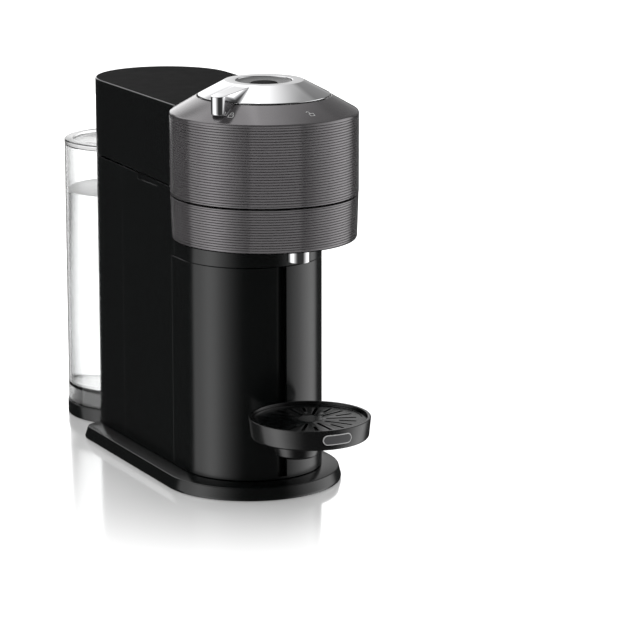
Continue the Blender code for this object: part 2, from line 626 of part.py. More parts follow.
def cup_support(carrier):
    section = [(0, TRAY_FOOT - 0.002), (0.030, TRAY_FOOT - 0.0014), (TRAY_R - 0.0022, TRAY_FOOT)]
    section += [(TRAY_R - 0.0006, TRAY_FOOT + 0.0022), (TRAY_R, TRAY_RIM - 0.0008), (TRAY_R - 0.0008, TRAY_RIM)]
    section += [(0.0430, TRAY_RIM), (0.0430, GRID_LEDGE), (0.0405, GRID_LEDGE)]
    section += [(0.0405, TRAY_FLOOR), (0, TRAY_FLOOR)]
    dish = lathe("cup_support", section, "satin_black", (0, TRAY_Y, 0), ROUND, carrier)
    boss = [(0, BOSS_FOOT), (0.0130, BOSS_FOOT), (0.0165, BOSS_FOOT + 0.002), (0.0225, 0.0575), (0, 0.0575)]
    fuse(dish, lathe("support_boss", boss, "steel", (0, BOSS_Y, 0), 26))
    front = COLUMN_Y - BODY_R
    near, far = front + 0.0034, front + 0.0064  # the hook's crossbar behind the slot
    stem, bar = 0.0034, 0.0056  # half widths
    plan = [(-stem, -0.1410), (stem, -0.1410), (stem, near), (bar, near), (bar, far)]
    plan += [(-bar, far), (-bar, near), (-stem, near)]
    fuse(dish, prism("support_hook", plan, BOSS_FOOT + 0.0030, TRAY_FLOOR - 0.0015, "steel"))


def drip_grid(carrier):
    at, low = (0, TRAY_Y, 0), GRID_LEDGE + GAP
    grid = rod("drip_grid", 0.0426, low, low + 0.0020, "satin_black", at, ROUND, carrier)
    for k in range(GRID_SLOTS):
        slot = box(f"grid_slot_{k}", (-0.0013, 0.0120, 0.06), (0.0013, 0.0340, 0.08), "steel")
        turn_about(slot, at, 2 * pi * k / GRID_SLOTS)
        cut(grid, slot)


# Tank


def tank(carrier, lid, valve):
    """A clear crescent vessel whose skirt stands round the seat's boss."""
    outside = crescent(TANK_R, NEST_R)
    body = prism("water_tank", outside, SEAT_TOP + GAP, TANK_TOP, "clear_plastic", parent=carrier)
    inside = crescent(TANK_R - TANK_WALL, NEST_R + TANK_WALL)
    cut(body, prism("water_room", inside, TANK_FLOOR, 0.3, "steel"))
    cut(body, prism("skirt_room", inside, 0, TANK_FLOOR - 0.0020, "steel"))
    cut(body, rod("valve_hole", 0.0045, 0, 0.03, "steel", (0, VALVE_Y, 0)))
    cover = prism("tank_lid", outside, TANK_TOP + GAP, LID_TOP, "clear_plastic", parent=lid)
    cut(cover, prism("lid_recess", crescent(0.0440, NEST_R + 0.0067), LID_TOP - 0.0020, 0.3, "steel"))
    at = (0, VALVE_Y, 0)
    stem = [(0, 0.0205), (0.0036, 0.0205), (0.0036, TANK_FLOOR + 0.0004), (0.0075, TANK_FLOOR + 0.0004)]
    stem += [(0.0075, 0.0292), (0, 0.0292)]
    lathe("tank_valve", stem, "dark_grey", at, 16, valve)
    tube("valve_spring", 0.0055, 0.0042, 0.0295, 0.0400, "steel", at, 16, carrier)
    foot = TANK_FLOOR + GAP
    cage = [(0, 0.0405), (0.0088, 0.0405), (0.0088, foot), (0.0105, foot), (0.0105, 0.0425), (0, 0.0425)]
    guard = lathe("valve_cage", cage, "inner_plastic", at, 16, carrier)
    for k in (0, 1):
        window = box(f"cage_window_{k}", (-0.002, -0.02, 0.0310), (0.002, 0.02, 0.0390), "steel")
        turn_about(window, at, k * pi / 2)
        cut(guard, window)
    tube("seat_seal", 0.0095, 0.0055, 0.0163, 0.0195, "silicone", at, 16)


def build():
    clear_scene()
    head = pivot("head_pivot", (0, HINGE_Y, HINGE_Z))
    lever_pivot = pivot("lever_pivot", (0, HEAD_Y, LEVER_TOP), head)
    button = pivot("button_pivot", (0, HEAD_Y, LEVER_TOP), head)
    pierce = pivot("brew_head_pivot", (0, HEAD_Y, CUP_TOP), head)
    cup = pivot("pod_cup_pivot", (0, HEAD_Y, CUP_TOP))
    motor = pivot("motor_pivot", (0, MOTOR_Y, PULLEY_Z[0]))
    container = pivot("container_pivot", (0, COLUMN_Y, HOUSING_FOOT))
    support = pivot("support_pivot", (0, TRAY_Y, TRAY_FOOT), container)
    grid = pivot("grid_pivot", (0, TRAY_Y, TRAY_RIM), support)
    tank_pivot = pivot("tank_pivot", (0, TANK_Y, SEAT_TOP))
    lid = pivot("lid_pivot", (0, TANK_Y, TANK_TOP), tank_pivot)
    valve = pivot("valve_pivot", (0, VALVE_Y, TANK_FLOOR), tank_pivot)

    base_plate()
    feet_and_screws()
    cord_gland()
    mid_housing()
    rear_housing()
    head_ring()
    neck()
    brewing_unit()
    pod_cup(cup)
    drive(motor)
    machinery()
    chassis()
    head_cover(head)
    upper_housing(head)
    head_frame(head)
    brew_head(pierce)
    button_group(head, button)
    lever(lever_pivot)
    pod_container(container)
    cup_support(support)
    drip_grid(grid)
    tank(tank_pivot, lid, valve)


build()
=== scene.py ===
"""Looks of the pod coffee machine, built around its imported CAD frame.

Metres, +Z up, front towards -Y. A section is a list of (radius, height) points, and a plan is a list of
(x, y) points. A third number in a point is the radius of its rounding, which fillet() works out.
"""

import json
from math import acos, asin, atan2, cos, pi, radians, sin, sqrt, tan

import bmesh
import bpy
from mathutils import Matrix, Vector


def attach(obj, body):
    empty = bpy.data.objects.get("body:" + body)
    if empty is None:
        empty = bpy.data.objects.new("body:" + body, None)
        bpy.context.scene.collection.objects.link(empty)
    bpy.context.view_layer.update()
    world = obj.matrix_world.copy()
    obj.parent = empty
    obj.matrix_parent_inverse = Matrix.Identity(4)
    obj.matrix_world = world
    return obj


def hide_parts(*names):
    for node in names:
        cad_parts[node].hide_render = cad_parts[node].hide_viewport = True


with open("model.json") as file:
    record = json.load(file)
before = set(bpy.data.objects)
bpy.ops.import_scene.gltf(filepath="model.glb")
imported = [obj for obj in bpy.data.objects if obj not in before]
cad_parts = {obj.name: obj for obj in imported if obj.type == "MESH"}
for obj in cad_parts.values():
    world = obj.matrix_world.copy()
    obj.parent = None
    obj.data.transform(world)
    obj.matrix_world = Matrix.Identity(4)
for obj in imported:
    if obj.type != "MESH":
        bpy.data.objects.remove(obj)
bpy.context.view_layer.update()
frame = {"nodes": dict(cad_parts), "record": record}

# Sizes shared with the CAD frame. _R is a radius and _Y a place along the depth. The others are heights.
HEAD_Y, HEAD_R = -0.0944, 0.0710
RING_FOOT_R, RING_FOOT, RING_TOP = 0.0698, 0.1955, 0.2279
COVER_FOOT, COVER_CREASE = 0.2293, 0.2906
CONE_R, CONE_TOP = 0.0504, 0.3023
SHELF, SHELF_HOLE_R = 0.3000, 0.0240
LEVER_FOOT, LEVER_TOP, LEVER_FLAT_R = 0.3027, 0.3138, 0.0300
RECESS_FOOT, RECESS_R = 0.2950, 0.0212
BODY_R = 0.0550
COLUMN_Y, COLUMN_TOP = HEAD_Y + 0.0260, 0.1770
BACK_Y = HEAD_Y + 0.1800
CONTAINER_BACK_Y = HEAD_Y + 0.0480
PANEL_LINE_Y = HEAD_Y + 0.1410
HINGE_Y = 0.1300
HOUSING_FOOT, HOUSING_BLANK_TOP = 0.0122, 0.24
UPPER_TOP = 0.2928
NOTCH_START_Y, NOTCH_END_Y, NOTCH_FOOT = HEAD_Y + 0.0740, HEAD_Y + 0.1110, 0.2255
BASE_R, BASE_END_Y, BASE_CORNER_R = 0.0700, HEAD_Y + 0.2000, 0.0140
BASE_UNDERSIDE, BASE_TOP = 0.0006, 0.0118
SEAT_R = 0.0515
TANK_Y, TANK_R, NEST_R = 0.2150 - SEAT_R, 0.0507, 0.0563
TANK_FLOOR, TANK_TOP, LID_TOP = 0.0268, 0.2277, 0.2320
WATER_LEVEL = 0.1900
VALVE_Y = 0.1750
TRAY_R, TRAY_Y = 0.0455, -0.1695
TRAY_FOOT, TRAY_RIM, TRAY_FLOOR, GRID_LEDGE = 0.0572, 0.0727, 0.0600, 0.0682
BOSS_FOOT, BOSS_Y = 0.0370, -0.1480
OUTLET_Y, OUTLET_R, OUTLET_FOOT = HEAD_Y - 0.0570, 0.0085, 0.1860
FEET = [(-0.045, -0.100), (0.045, -0.100), (-0.030, 0.170), (0.030, 0.170)]
SCREWS = [(-0.045, -0.040), (0.045, -0.040), (-0.045, 0.070), (0.045, 0.070)]

# Wall thicknesses, the gap between parts and round the water, and how deep the finger notches are
WALL, TANK_WALL, COVER_WALL = 0.0024, 0.0020, 0.0025
GAP, WATER_GAP = 0.0003, 0.00015
NOTCH_DEPTH = 0.0013

# The seam under the head slopes: its height at COLUMN_Y and its rise along the depth, below and above the gap
SEAM_FRONT, SEAM_SLOPE = 0.2287, 0.0165
UPPER_FRONT, UPPER_SLOPE = 0.2294, 0.0210

LEVER_ANGLE, LEVER_REACH, NOSE_START = radians(58), 0.0680, 0.0600
RIB_PITCH, RIB_DEPTH = 0.0020, 0.00058

# Axes that sections are turned round, and distances past the machine for the shapes that cut it
HEAD_AXIS, BACK_AXIS, TANK_AXIS = (0, HEAD_Y), (0, BACK_Y), (0, TANK_Y)
VALVE_AXIS, TRAY_AXIS = (0, VALVE_Y), (0, TRAY_Y)
PAST_SIDE, PAST_END, PAST_TOP = 0.1, 0.2, 0.3


# Materials


def shader_nodes(name):
    """A new material with its node tree and its shader."""
    mat = bpy.data.materials.new(name)
    mat.use_nodes = True
    tree = mat.node_tree
    return mat, tree, tree.nodes["Principled BSDF"]


def noise(tree, scale, detail=2.0, stretch=(1, 1, 1)):
    """Noise in object space. scale is in features per metre."""
    coord = tree.nodes.new("ShaderNodeTexCoord")
    mapping = tree.nodes.new("ShaderNodeMapping")
    mapping.inputs["Scale"].default_value = [scale * s for s in stretch]
    tree.links.new(coord.outputs["Object"], mapping.inputs["Vector"])
    tex = tree.nodes.new("ShaderNodeTexNoise")
    tex.inputs["Scale"].default_value = 1.0
    tex.inputs["Detail"].default_value = detail
    tree.links.new(mapping.outputs["Vector"], tex.inputs["Vector"])
    return tex.outputs["Fac"]


def spread(tree, value, low, high, from_low=0.3, from_high=0.7):
    """Maps a value's range onto another. The first range is most of what noise gives."""
    node = tree.nodes.new("ShaderNodeMapRange")
    node.inputs["From Min"].default_value = from_low
    node.inputs["From Max"].default_value = from_high
    node.inputs["To Min"].default_value = low
    node.inputs["To Max"].default_value = high
    tree.links.new(value, node.inputs["Value"])
    return node.outputs["Result"]


def colour_mix(tree, value, first, second):
    """Goes from the first colour to the second as the value goes from 0 to 1."""
    node = tree.nodes.new("ShaderNodeMix")
    node.data_type = "RGBA"
    node.inputs["A"].default_value = (*first, 1)
    node.inputs["B"].default_value = (*second, 1)
    tree.links.new(value, node.inputs["Factor"])
    return node.outputs["Result"]


def bump(tree, bsdf, value, distance):
    node = tree.nodes.new("ShaderNodeBump")
    node.inputs["Distance"].default_value = distance
    node.inputs["Strength"].default_value = 1.0
    tree.links.new(value, node.inputs["Height"])
    tree.links.new(node.outputs["Normal"], bsdf.inputs["Normal"])


CLOUD_SCALE, PATCH_SCALE = 35, 35 * 2.7


def surface(name, colour, rough, metal=0.0, vary=0.12, rough_vary=0.05, grain=1500, depth=0.000004,
            stretch=(1, 1, 1), specular=0.5, coat=0.0, coat_rough=0.1):
    """A moulded or metal finish: clouded colour, uneven roughness and fine grain."""
    mat, tree, bsdf = shader_nodes(name)
    clouds = spread(tree, noise(tree, CLOUD_SCALE, 4.0), 0, 1)
    dark = [c * (1 - vary) for c in colour]
    light = [min(1, c * (1 + vary)) for c in colour]
    tree.links.new(colour_mix(tree, clouds, dark, light), bsdf.inputs["Base Color"])
    patches = noise(tree, PATCH_SCALE, 3.0)
    tree.links.new(spread(tree, patches, rough - rough_vary, rough + rough_vary), bsdf.inputs["Roughness"])
    bump(tree, bsdf, noise(tree, grain, stretch=stretch), depth)
    bsdf.inputs["Metallic"].default_value = metal
    bsdf.inputs["Specular IOR Level"].default_value = specular
    if coat:
        bsdf.inputs["Coat Weight"].default_value = coat
        bsdf.inputs["Coat Roughness"].default_value = coat_rough
    return mat


def clear(name, tint, edge, ior, start=0.38):
    """Clear plastic or water. Its tint turns to the edge colour where it is seen edge on, from start to 1.
    The edge colour is a painted shade that darkens the outline.
    """
    mat, tree, bsdf = shader_nodes(name)
    weight = tree.nodes.new("ShaderNodeLayerWeight")
    weight.inputs["Blend"].default_value = 0.5
    # Painted shade: the edge colour takes over as the surface turns edge on
    edge_shade_share = spread(tree, weight.outputs["Facing"], 0, 1, start, 1.0)
    tree.links.new(colour_mix(tree, edge_shade_share, tint, edge), bsdf.inputs["Base Color"])
    bsdf.inputs["Transmission Weight"].default_value = 1.0
    bsdf.inputs["IOR"].default_value = ior
    tree.links.new(spread(tree, noise(tree, 40, 3.0), 0.0, 0.004), bsdf.inputs["Roughness"])
    return mat


def board(name):
    """Coated circuit board with tracks and pads."""
    mat, tree, bsdf = shader_nodes(name)
    coord = tree.nodes.new("ShaderNodeTexCoord")
    mapping = tree.nodes.new("ShaderNodeMapping")
    mapping.inputs["Rotation"].default_value = (0, radians(90), 0)
    brick = tree.nodes.new("ShaderNodeTexBrick")
    brick.inputs["Scale"].default_value = 120
    brick.inputs["Mortar Size"].default_value = 0.03
    brick.inputs["Color1"].default_value = (0.012, 0.11, 0.04, 1)
    brick.inputs["Color2"].default_value = (0.016, 0.14, 0.05, 1)
    brick.inputs["Mortar"].default_value = (0.05, 0.26, 0.10, 1)
    tree.links.new(coord.outputs["Object"], mapping.inputs["Vector"])
    tree.links.new(mapping.outputs["Vector"], brick.inputs["Vector"])
    tree.links.new(brick.outputs["Color"], bsdf.inputs["Base Color"])
    tree.links.new(spread(tree, brick.outputs["Fac"], 0.35, 0.5, 0, 1), bsdf.inputs["Roughness"])
    bump(tree, bsdf, brick.outputs["Fac"], 0.00005)
    return mat


BLACK = surface("body_black", (0.0020, 0.0027, 0.0027), 0.20, vary=0.06, rough_vary=0.015, grain=2600,
                depth=0.0000006, specular=0.65)
GRAINED = surface("grained_black", (0.0090, 0.0090, 0.0092), 0.60, vary=0.05, rough_vary=0.02, grain=1700,
                  depth=0.00001, specular=0.008)
TITANIUM = surface("titanium_grey", (0.172, 0.165, 0.170), 0.16, metal=0.75, vary=0.04, rough_vary=0.01,
                   depth=0.0000002)
CHROME = surface("chrome", (0.86, 0.86, 0.87), 0.030, metal=1.0, vary=0.02, rough_vary=0.008, grain=300,
                 depth=0.0000003)
RECESS_GREY = surface("recess_grey", (0.13, 0.13, 0.132), 0.42, vary=0.08, grain=2400, depth=0.000006)
GLOSS_BLACK = surface("gloss_black", (0.006, 0.006, 0.006), 0.09, vary=0.1, rough_vary=0.02, grain=800,
                      depth=0.000001, coat=0.6, coat_rough=0.05)
DISH_BLACK = surface("dish_black", (0.0030, 0.0033, 0.0033), 0.24, vary=0.06, rough_vary=0.015, grain=2600,
                     depth=0.0000006, specular=0.95)
RUBBER = surface("rubber", (0.020, 0.020, 0.020), 0.78, vary=0.2, grain=1800, depth=0.00003, specular=0.3)
SILICONE = surface("silicone", (0.46, 0.45, 0.42), 0.48, vary=0.06, grain=1200, depth=0.00001)
STEEL = surface("steel", (0.46, 0.46, 0.455), 0.30, metal=1.0, vary=0.06, grain=900, depth=0.000006,
                stretch=(1, 1, 0.05))
ALUMINIUM = surface("aluminium", (0.56, 0.56, 0.565), 0.40, metal=1.0, vary=0.08, grain=1400, depth=0.00002)
INNER = surface("inner_plastic", (0.045, 0.045, 0.047), 0.46, vary=0.12, grain=1300, depth=0.00001)
VALVE_GREY = surface("valve_grey", (0.30, 0.30, 0.30), 0.45, vary=0.08, grain=1500, depth=0.00001)
BOARD = board("board_green")
# The edge colours here are painted shade on the outlines of the tank, its lid and the water
CLEAR = clear("clear_plastic", (0.98, 0.985, 0.985), (0.0, 0.0, 0.0), 1.46, start=0.25)
CLEAR_LID = clear("clear_lid", (0.74, 0.74, 0.74), (0.0, 0.0, 0.0), 1.46)
WATER = clear("water", (0.99, 0.995, 0.995), (0.90, 0.91, 0.92), 1.33)
# Painted reflection: the water's surface gets a near-white colour for the brightness that its reflection
# gives
WATER_REFLECTION_PAINT = surface("water_top_painted_reflection", (0.97, 0.97, 0.97), 0.12, vary=0.03, rough_vary=0.02, grain=60,
                    depth=0.00001)
BUTTON_BLACK = surface("button_black", (0.0016, 0.0016, 0.0017), 0.45, vary=0.05, grain=900, depth=0.000001,
                       specular=0.01)
BADGE = surface("badge_grey", (0.42, 0.42, 0.42), 0.34, metal=0.3, vary=0.04, grain=2500, depth=0.000002)
MARK = surface("mark_grey", (0.55, 0.55, 0.55), 0.50, vary=0.05, grain=2500, depth=0.000002)

# The finish of each material slot that the CAD record names
FINISHES = {"steel": STEEL, "aluminium": ALUMINIUM, "inner_plastic": INNER, "rubber": RUBBER,
            "silicone": SILICONE, "board_green": BOARD, "satin_black": BLACK, "dark_grey": VALVE_GREY,
            "titanium_grey": TITANIUM,
            "chrome": CHROME, "gloss_black": GLOSS_BLACK, "clear_plastic": CLEAR, "matt_black": GRAINED}


def finish_frame_nodes():
    """Procedural finishes for the CAD nodes that stay."""
    for part in frame["record"]["subparts"]:
        obj = frame["nodes"][part["node"]]
        obj.data.materials.clear()
        obj.data.materials.append(FINISHES[part["material_slot"]])


def second_finish(obj, mat, least_up, lowest):
    """Gives another material to the faces that look up and lie above a height."""
    obj.data.materials.append(mat)
    for face in obj.data.polygons:
        if face.normal.z > least_up and face.center.z > lowest:
            face.material_index = 1


# Mesh helpers


def piece(name, bm, mat, body, nodes=(), slot=None, angle=32, bevel=0.0, segments=2, even=False):
    """Makes a shaded object from a bmesh, which rides on a body and may stand for CAD nodes."""
    bmesh.ops.recalc_face_normals(bm, faces=bm.faces)
    mesh = bpy.data.meshes.new(name)
    bm.to_mesh(mesh)
    bm.free()
    obj = bpy.data.objects.new(name, mesh)
    bpy.context.collection.objects.link(obj)
    mesh.materials.append(mat)
    if bevel:
        edge = obj.modifiers.new("edges", "BEVEL")
        edge.width, edge.segments, edge.limit_method, edge.angle_limit = bevel, segments, "ANGLE", radians(40)
        bake(obj)
    obj.data.shade_smooth()
    obj.data.set_sharp_from_angle(angle=radians(angle))
    if bevel or even:
        normals = obj.modifiers.new("even", "WEIGHTED_NORMAL")
        normals.keep_sharp, normals.weight = True, 100
        bake(obj)
    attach(obj, body)
    if nodes:
        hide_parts(*nodes)
    return obj


def bake(obj, *cutters):
    """Applies the object's modifiers and removes what it was cut with."""
    graph = bpy.context.evaluated_depsgraph_get()
    bpy.context.view_layer.update()
    done = bpy.data.meshes.new_from_object(obj.evaluated_get(graph), depsgraph=graph)
    old, obj.data = obj.data, done
    obj.modifiers.clear()
    bpy.data.meshes.remove(old)
    for cutter in cutters:
        bpy.data.objects.remove(cutter)


def cut(bm, *others, operation="DIFFERENCE"):
    """Boolean of bmeshes, giving a new bmesh."""
    def plain(source):
        bmesh.ops.recalc_face_normals(source, faces=source.faces)
        mesh = bpy.data.meshes.new("work")
        source.to_mesh(mesh)
        source.free()
        obj = bpy.data.objects.new("work", mesh)
        bpy.context.collection.objects.link(obj)
        return obj

    target = plain(bm)
    cutters = [plain(other) for other in others]
    for cutter in cutters:
        modifier = target.modifiers.new("cut", "BOOLEAN")
        modifier.operation, modifier.object, modifier.solver = operation, cutter, "EXACT"
    bake(target, *cutters)
    result = bmesh.new()
    result.from_mesh(target.data)
    bpy.data.objects.remove(target)
    bmesh.ops.remove_doubles(result, verts=result.verts, dist=0.000004)
    return result


def fillet(points, closed=True, steps=5):
    """Rounds each corner (a, b, radius) of a flat line of points."""
    out, n = [], len(points)
    for k, point in enumerate(points):
        radius = point[2] if len(point) > 2 else 0
        if not radius or (not closed and k in (0, n - 1)):
            out.append(tuple(point[:2]))
            continue
        a, b, c = (Vector(points[(k + j) % n][:2]) for j in (-1, 0, 1))
        u, v = (a - b).normalized(), (c - b).normalized()
        half = acos(max(-1, min(1, u.dot(v)))) / 2
        centre = b + (u + v).normalized() * (radius / sin(half))
        first, last = (b + way * (radius / tan(half)) - centre for way in (u, v))
        start = atan2(first.y, first.x)
        sweep = (atan2(last.y, last.x) - start + pi) % (2 * pi) - pi
        angles = [start + sweep * j / steps for j in range(steps + 1)]
        out += [(centre.x + radius * cos(a), centre.y + radius * sin(a)) for a in angles]
    return out


def lathe(section, sides=192, at=(0, 0)):
    """Turns a closed section, or one that starts and ends on the axis."""
    bm, rings = bmesh.new(), []
    for radius, height in section:
        if radius <= 0:
            rings.append([bm.verts.new((at[0], at[1], height))])
            continue
        angles = (2 * pi * k / sides for k in range(sides))
        ring = [(at[0] + radius * cos(a), at[1] + radius * sin(a), height) for a in angles]
        rings.append([bm.verts.new(p) for p in ring])
    pairs = list(zip(rings, rings[1:]))
    if len(rings[0]) > 1:
        pairs.append((rings[-1], rings[0]))
    for low, high in pairs:
        for k in range(sides):
            n = k + 1
            corners = [low[k % len(low)], low[n % len(low)], high[n % len(high)], high[k % len(high)]]
            bm.faces.new(list(dict.fromkeys(corners)))
    return bm


def rod(radius, low, high, sides, at=(0, 0)):
    """An upright cylinder."""
    return lathe([(0, low), (radius, low), (radius, high), (0, high)], sides, at)


def loft(outlines):
    """Joins closed outlines of the same number of points, and caps both ends."""
    bm = bmesh.new()
    rings = [[bm.verts.new(p) for p in outline] for outline in outlines]
    for low, high in zip(rings, rings[1:]):
        for k in range(len(low)):
            n = (k + 1) % len(low)
            bm.faces.new((low[k], low[n], high[n], high[k]))
    bm.faces.new(rings[0])
    bm.faces.new(rings[-1])
    return bm


def prism(plan, low, high):
    return loft([[(x, y, z) for x, y in plan] for z in (low, high)])


def box(low, high):
    (x0, y0, z0), (x1, y1, z1) = low, high
    return prism([(x0, y0), (x1, y0), (x1, y1), (x0, y1)], z0, z1)


def arc(centre_y, radius, start, end, steps):
    """Points of an arc about a place on the middle line."""
    angles = [start + (end - start) * k / steps for k in range(steps + 1)]
    return [(radius * cos(a), centre_y + radius * sin(a)) for a in angles]


def inset_outline(outline, amount):
    """Moves each point of an anticlockwise outline inwards, square to its neighbours."""
    out, n = [], len(outline)
    for k in range(n):
        a, b, c = (Vector(outline[(k + j) % n]) for j in (-1, 0, 1))
        u, v = (b - a).normalized(), (c - b).normalized()
        normal = Vector((-u.y, u.x)) + Vector((-v.y, v.x))
        scale = amount / max(0.3, normal.length / 2)
        out.append(tuple(b + normal.normalized() * scale))
    return out


def soft_prism(plan, low, high, foot, top, steps=3):
    """A prism of an anticlockwise plan with rounded bottom and top edges."""
    turns = [pi / 2 * k / steps for k in range(steps + 1)]
    rows = [(foot * (1 - sin(a)), low + foot * (1 - cos(a))) for a in turns]
    rows += [(top * (1 - cos(a)), high - top * (1 - sin(a))) for a in turns]
    return loft([[(x, y, z) for x, y in inset_outline(plan, inset)] for inset, z in rows])


def turned(bm, matrix):
    bmesh.ops.transform(bm, matrix=matrix, verts=bm.verts)
    return bm


def spin(angle, y=HEAD_Y, z=0):
    """The matrix of a turn about the upright through (0, y), lifted to z."""
    return Matrix.Translation((0, y, z)) @ Matrix.Rotation(angle, 4, "Z")


def round_head(count, radius):
    """Evenly spaced places on a circle about the head's axis."""
    return [(radius * cos(a), HEAD_Y + radius * sin(a)) for a in (2 * pi * k / count for k in range(count))]


# Head


def ribs(low, high, radius_at):
    """Ribs with flat lands and narrow rounded grooves, going up."""
    # (share of the pitch, share of the depth)
    groove = ((0.0, 1.0), (0.06, 0.88), (0.13, 0.36), (0.19, 0.06), (0.26, 0.0))
    shape = groove + tuple((1 - t, fall) for t, fall in groove[:0:-1])
    count = round((high - low) / RIB_PITCH)
    points = []
    for k in range(count):
        for t, fall in shape:
            z = low + (high - low) * (k + t) / count
            points.append((radius_at(z) - RIB_DEPTH * fall, z))
    points.append((radius_at(high) - RIB_DEPTH, high))
    return points


def make_cover():
    """The ribbed drum with its cone and the shelf that the lever lies on."""
    foot = [(HEAD_R - COVER_WALL, COVER_FOOT), (HEAD_R - 0.0001, COVER_FOOT, 0.0005),
            (HEAD_R, COVER_FOOT + 0.0012)]
    top = [(HEAD_R, COVER_CREASE - 0.0019), (HEAD_R, COVER_CREASE, 0.0022),
           (CONE_R + 0.0003, CONE_TOP, 0.0004), (CONE_R - 0.0003, CONE_TOP - 0.0002, 0.0003),
           (CONE_R - 0.0004, SHELF), (SHELF_HOLE_R, SHELF)]
    inside = [(SHELF_HOLE_R, SHELF - COVER_WALL), (CONE_R - COVER_WALL, SHELF - COVER_WALL),
              (HEAD_R - COVER_WALL, COVER_CREASE - COVER_WALL)]
    side = ribs(COVER_FOOT + 0.0013, COVER_CREASE - 0.0020, lambda z: HEAD_R)
    bm = lathe(fillet(foot, False) + side + fillet(top, False) + inside, 256, HEAD_AXIS)
    window = box((-0.0400, HEAD_Y + 0.0500, 0.22), (0.0400, HEAD_Y + 0.1, 0.2400))
    piece("drum_cover", cut(bm, window), TITANIUM, "head", ["head_cover"], "titanium_grey", 50)


def make_ring():
    """The ribbed ring under the drum, which narrows a little towards its foot."""
    def radius(z):
        return RING_FOOT_R + (HEAD_R - 0.0002 - RING_FOOT_R) * (z - RING_FOOT) / (RING_TOP - RING_FOOT)

    inner, bend = HEAD_R - 0.0045, RING_FOOT + 0.002
    foot = [(inner, RING_FOOT), (RING_FOOT_R, RING_FOOT, 0.0012), (radius(bend), bend)]
    top = [(radius(RING_TOP), RING_TOP - 0.0010), (radius(RING_TOP), RING_TOP, 0.0005), (inner, RING_TOP)]
    side = ribs(RING_FOOT + 0.0021, RING_TOP - 0.0011, radius)
    bm = lathe(fillet(foot, False) + side + fillet(top, False), 256, HEAD_AXIS)
    piece("ring_band", bm, TITANIUM, "base", ["head_ring"], "titanium_grey", 50)


def make_neck():
    """The flat underside of the head, which curves down into the column."""
    steps, blend_steps = 128, 8
    blend, top = 0.0075, RING_FOOT - 0.0004

    def drum(r):
        half = pi - asin((BODY_R - RING_FOOT_R + r) / r)
        angles = [-half + 2 * half * k / steps for k in range(steps + 1)]
        return [Vector((r * sin(a), HEAD_Y - r * cos(a))) for a in angles]

    def column(r):
        """The column's plan: back to front on one side, round the front, and back on the other."""
        side = HEAD_Y + sqrt(RING_FOOT_R**2 - BODY_R**2) - COLUMN_Y
        length, points = 2 * side + pi * r, []
        for k in range(steps + 1):
            s = length * k / steps
            a = min(pi, max(0, (s - side) / r))
            behind = max(0, side - s, side - (length - s))
            points.append(Vector((-r * cos(a), COLUMN_Y + behind - r * sin(a))))
        return points

    def rows(inward):
        outer, foot = drum(RING_FOOT_R - 0.0006 - inward), column(BODY_R - inward)
        made = [[(*p, COLUMN_TOP + 0.0001) for p in foot]]
        for a in (pi / 2 * j / blend_steps for j in range(blend_steps + 1)):
            row = []
            for p, q in zip(foot, outer):
                reach = min((q - p).length, blend)
                shift = (q - p).normalized() * reach * (1 - cos(a))
                row.append((*(p + shift), top - blend + blend * sin(a)))
            made.append(row)
        made.append([(*q, top) for q in outer])
        return made

    bm = bmesh.new()
    grid = [[bm.verts.new(p) for p in row] for row in rows(0) + rows(WALL)[::-1]]
    for a, b in zip(grid, grid[1:] + grid[:1]):
        for k in range(steps):
            bm.faces.new((a[k], a[k + 1], b[k + 1], b[k]))
    piece("neck_skin", bm, BLACK, "base", ["neck"], "satin_black", 40)


def make_upper_housing():
    """The black housing behind the drum. It fits round the drum and cone, and its foot follows the seam."""
    play, rounding, mid, side_steps, bite_steps = 0.0006, 0.0014, 0.25, 40, 48

    def reach(z):
        """Where the housing starts behind the head's axis: at the drum's side, and then along the cone."""
        fall = max(0, z - COVER_CREASE) / (CONE_TOP - COVER_CREASE)
        return HEAD_R + play - (HEAD_R - CONE_R) * fall

    def outline(height, inset, inner=False, seam=None):
        """The plan at a height, or at a distance above the seam."""
        r = BODY_R - inset
        bite = reach(mid if seam is not None else height) + (inset if inner else 0)
        half = asin(min(1, r / bite))
        turns = [half - 2 * half * k / bite_steps for k in range(bite_steps + 1)]
        front = [(bite * sin(a), HEAD_Y + bite * cos(a)) for a in turns]
        start = front[0][1]
        ys = [start + (BACK_Y - start) * k / side_steps for k in range(1, side_steps)]
        points = [(r, y) for y in ys] + arc(BACK_Y, r, 0, pi, 96) + [(-r, y) for y in ys[::-1]] + front[::-1]
        if seam is None:
            return [(x, y, height) for x, y in points]
        return [(x, y, UPPER_FRONT + UPPER_SLOPE * (y - COLUMN_Y) + seam) for x, y in points]

    loops = [outline(UPPER_TOP - WALL, WALL, True), outline(mid, WALL, True)]
    loops.append(outline(0, WALL, True, seam=0.0))
    loops += [outline(0, inset, seam=seam) for inset, seam in ((0.0006, 0.0), (0.0001, 0.0002), (0, 0.0008))]
    loops += [outline(z, 0) for z in (0.255, 0.275, COVER_CREASE, UPPER_TOP - rounding)]
    turns = [pi / 2 * k / 5 for k in range(1, 6)]
    loops += [outline(UPPER_TOP - rounding + rounding * sin(a), rounding * (1 - cos(a))) for a in turns]
    obj = piece("upper_shell", loft(loops), BLACK, "head", ["upper_housing"], "matt_black", 30, even=True)
    second_finish(obj, GRAINED, 0.985, UPPER_TOP - 0.0008)


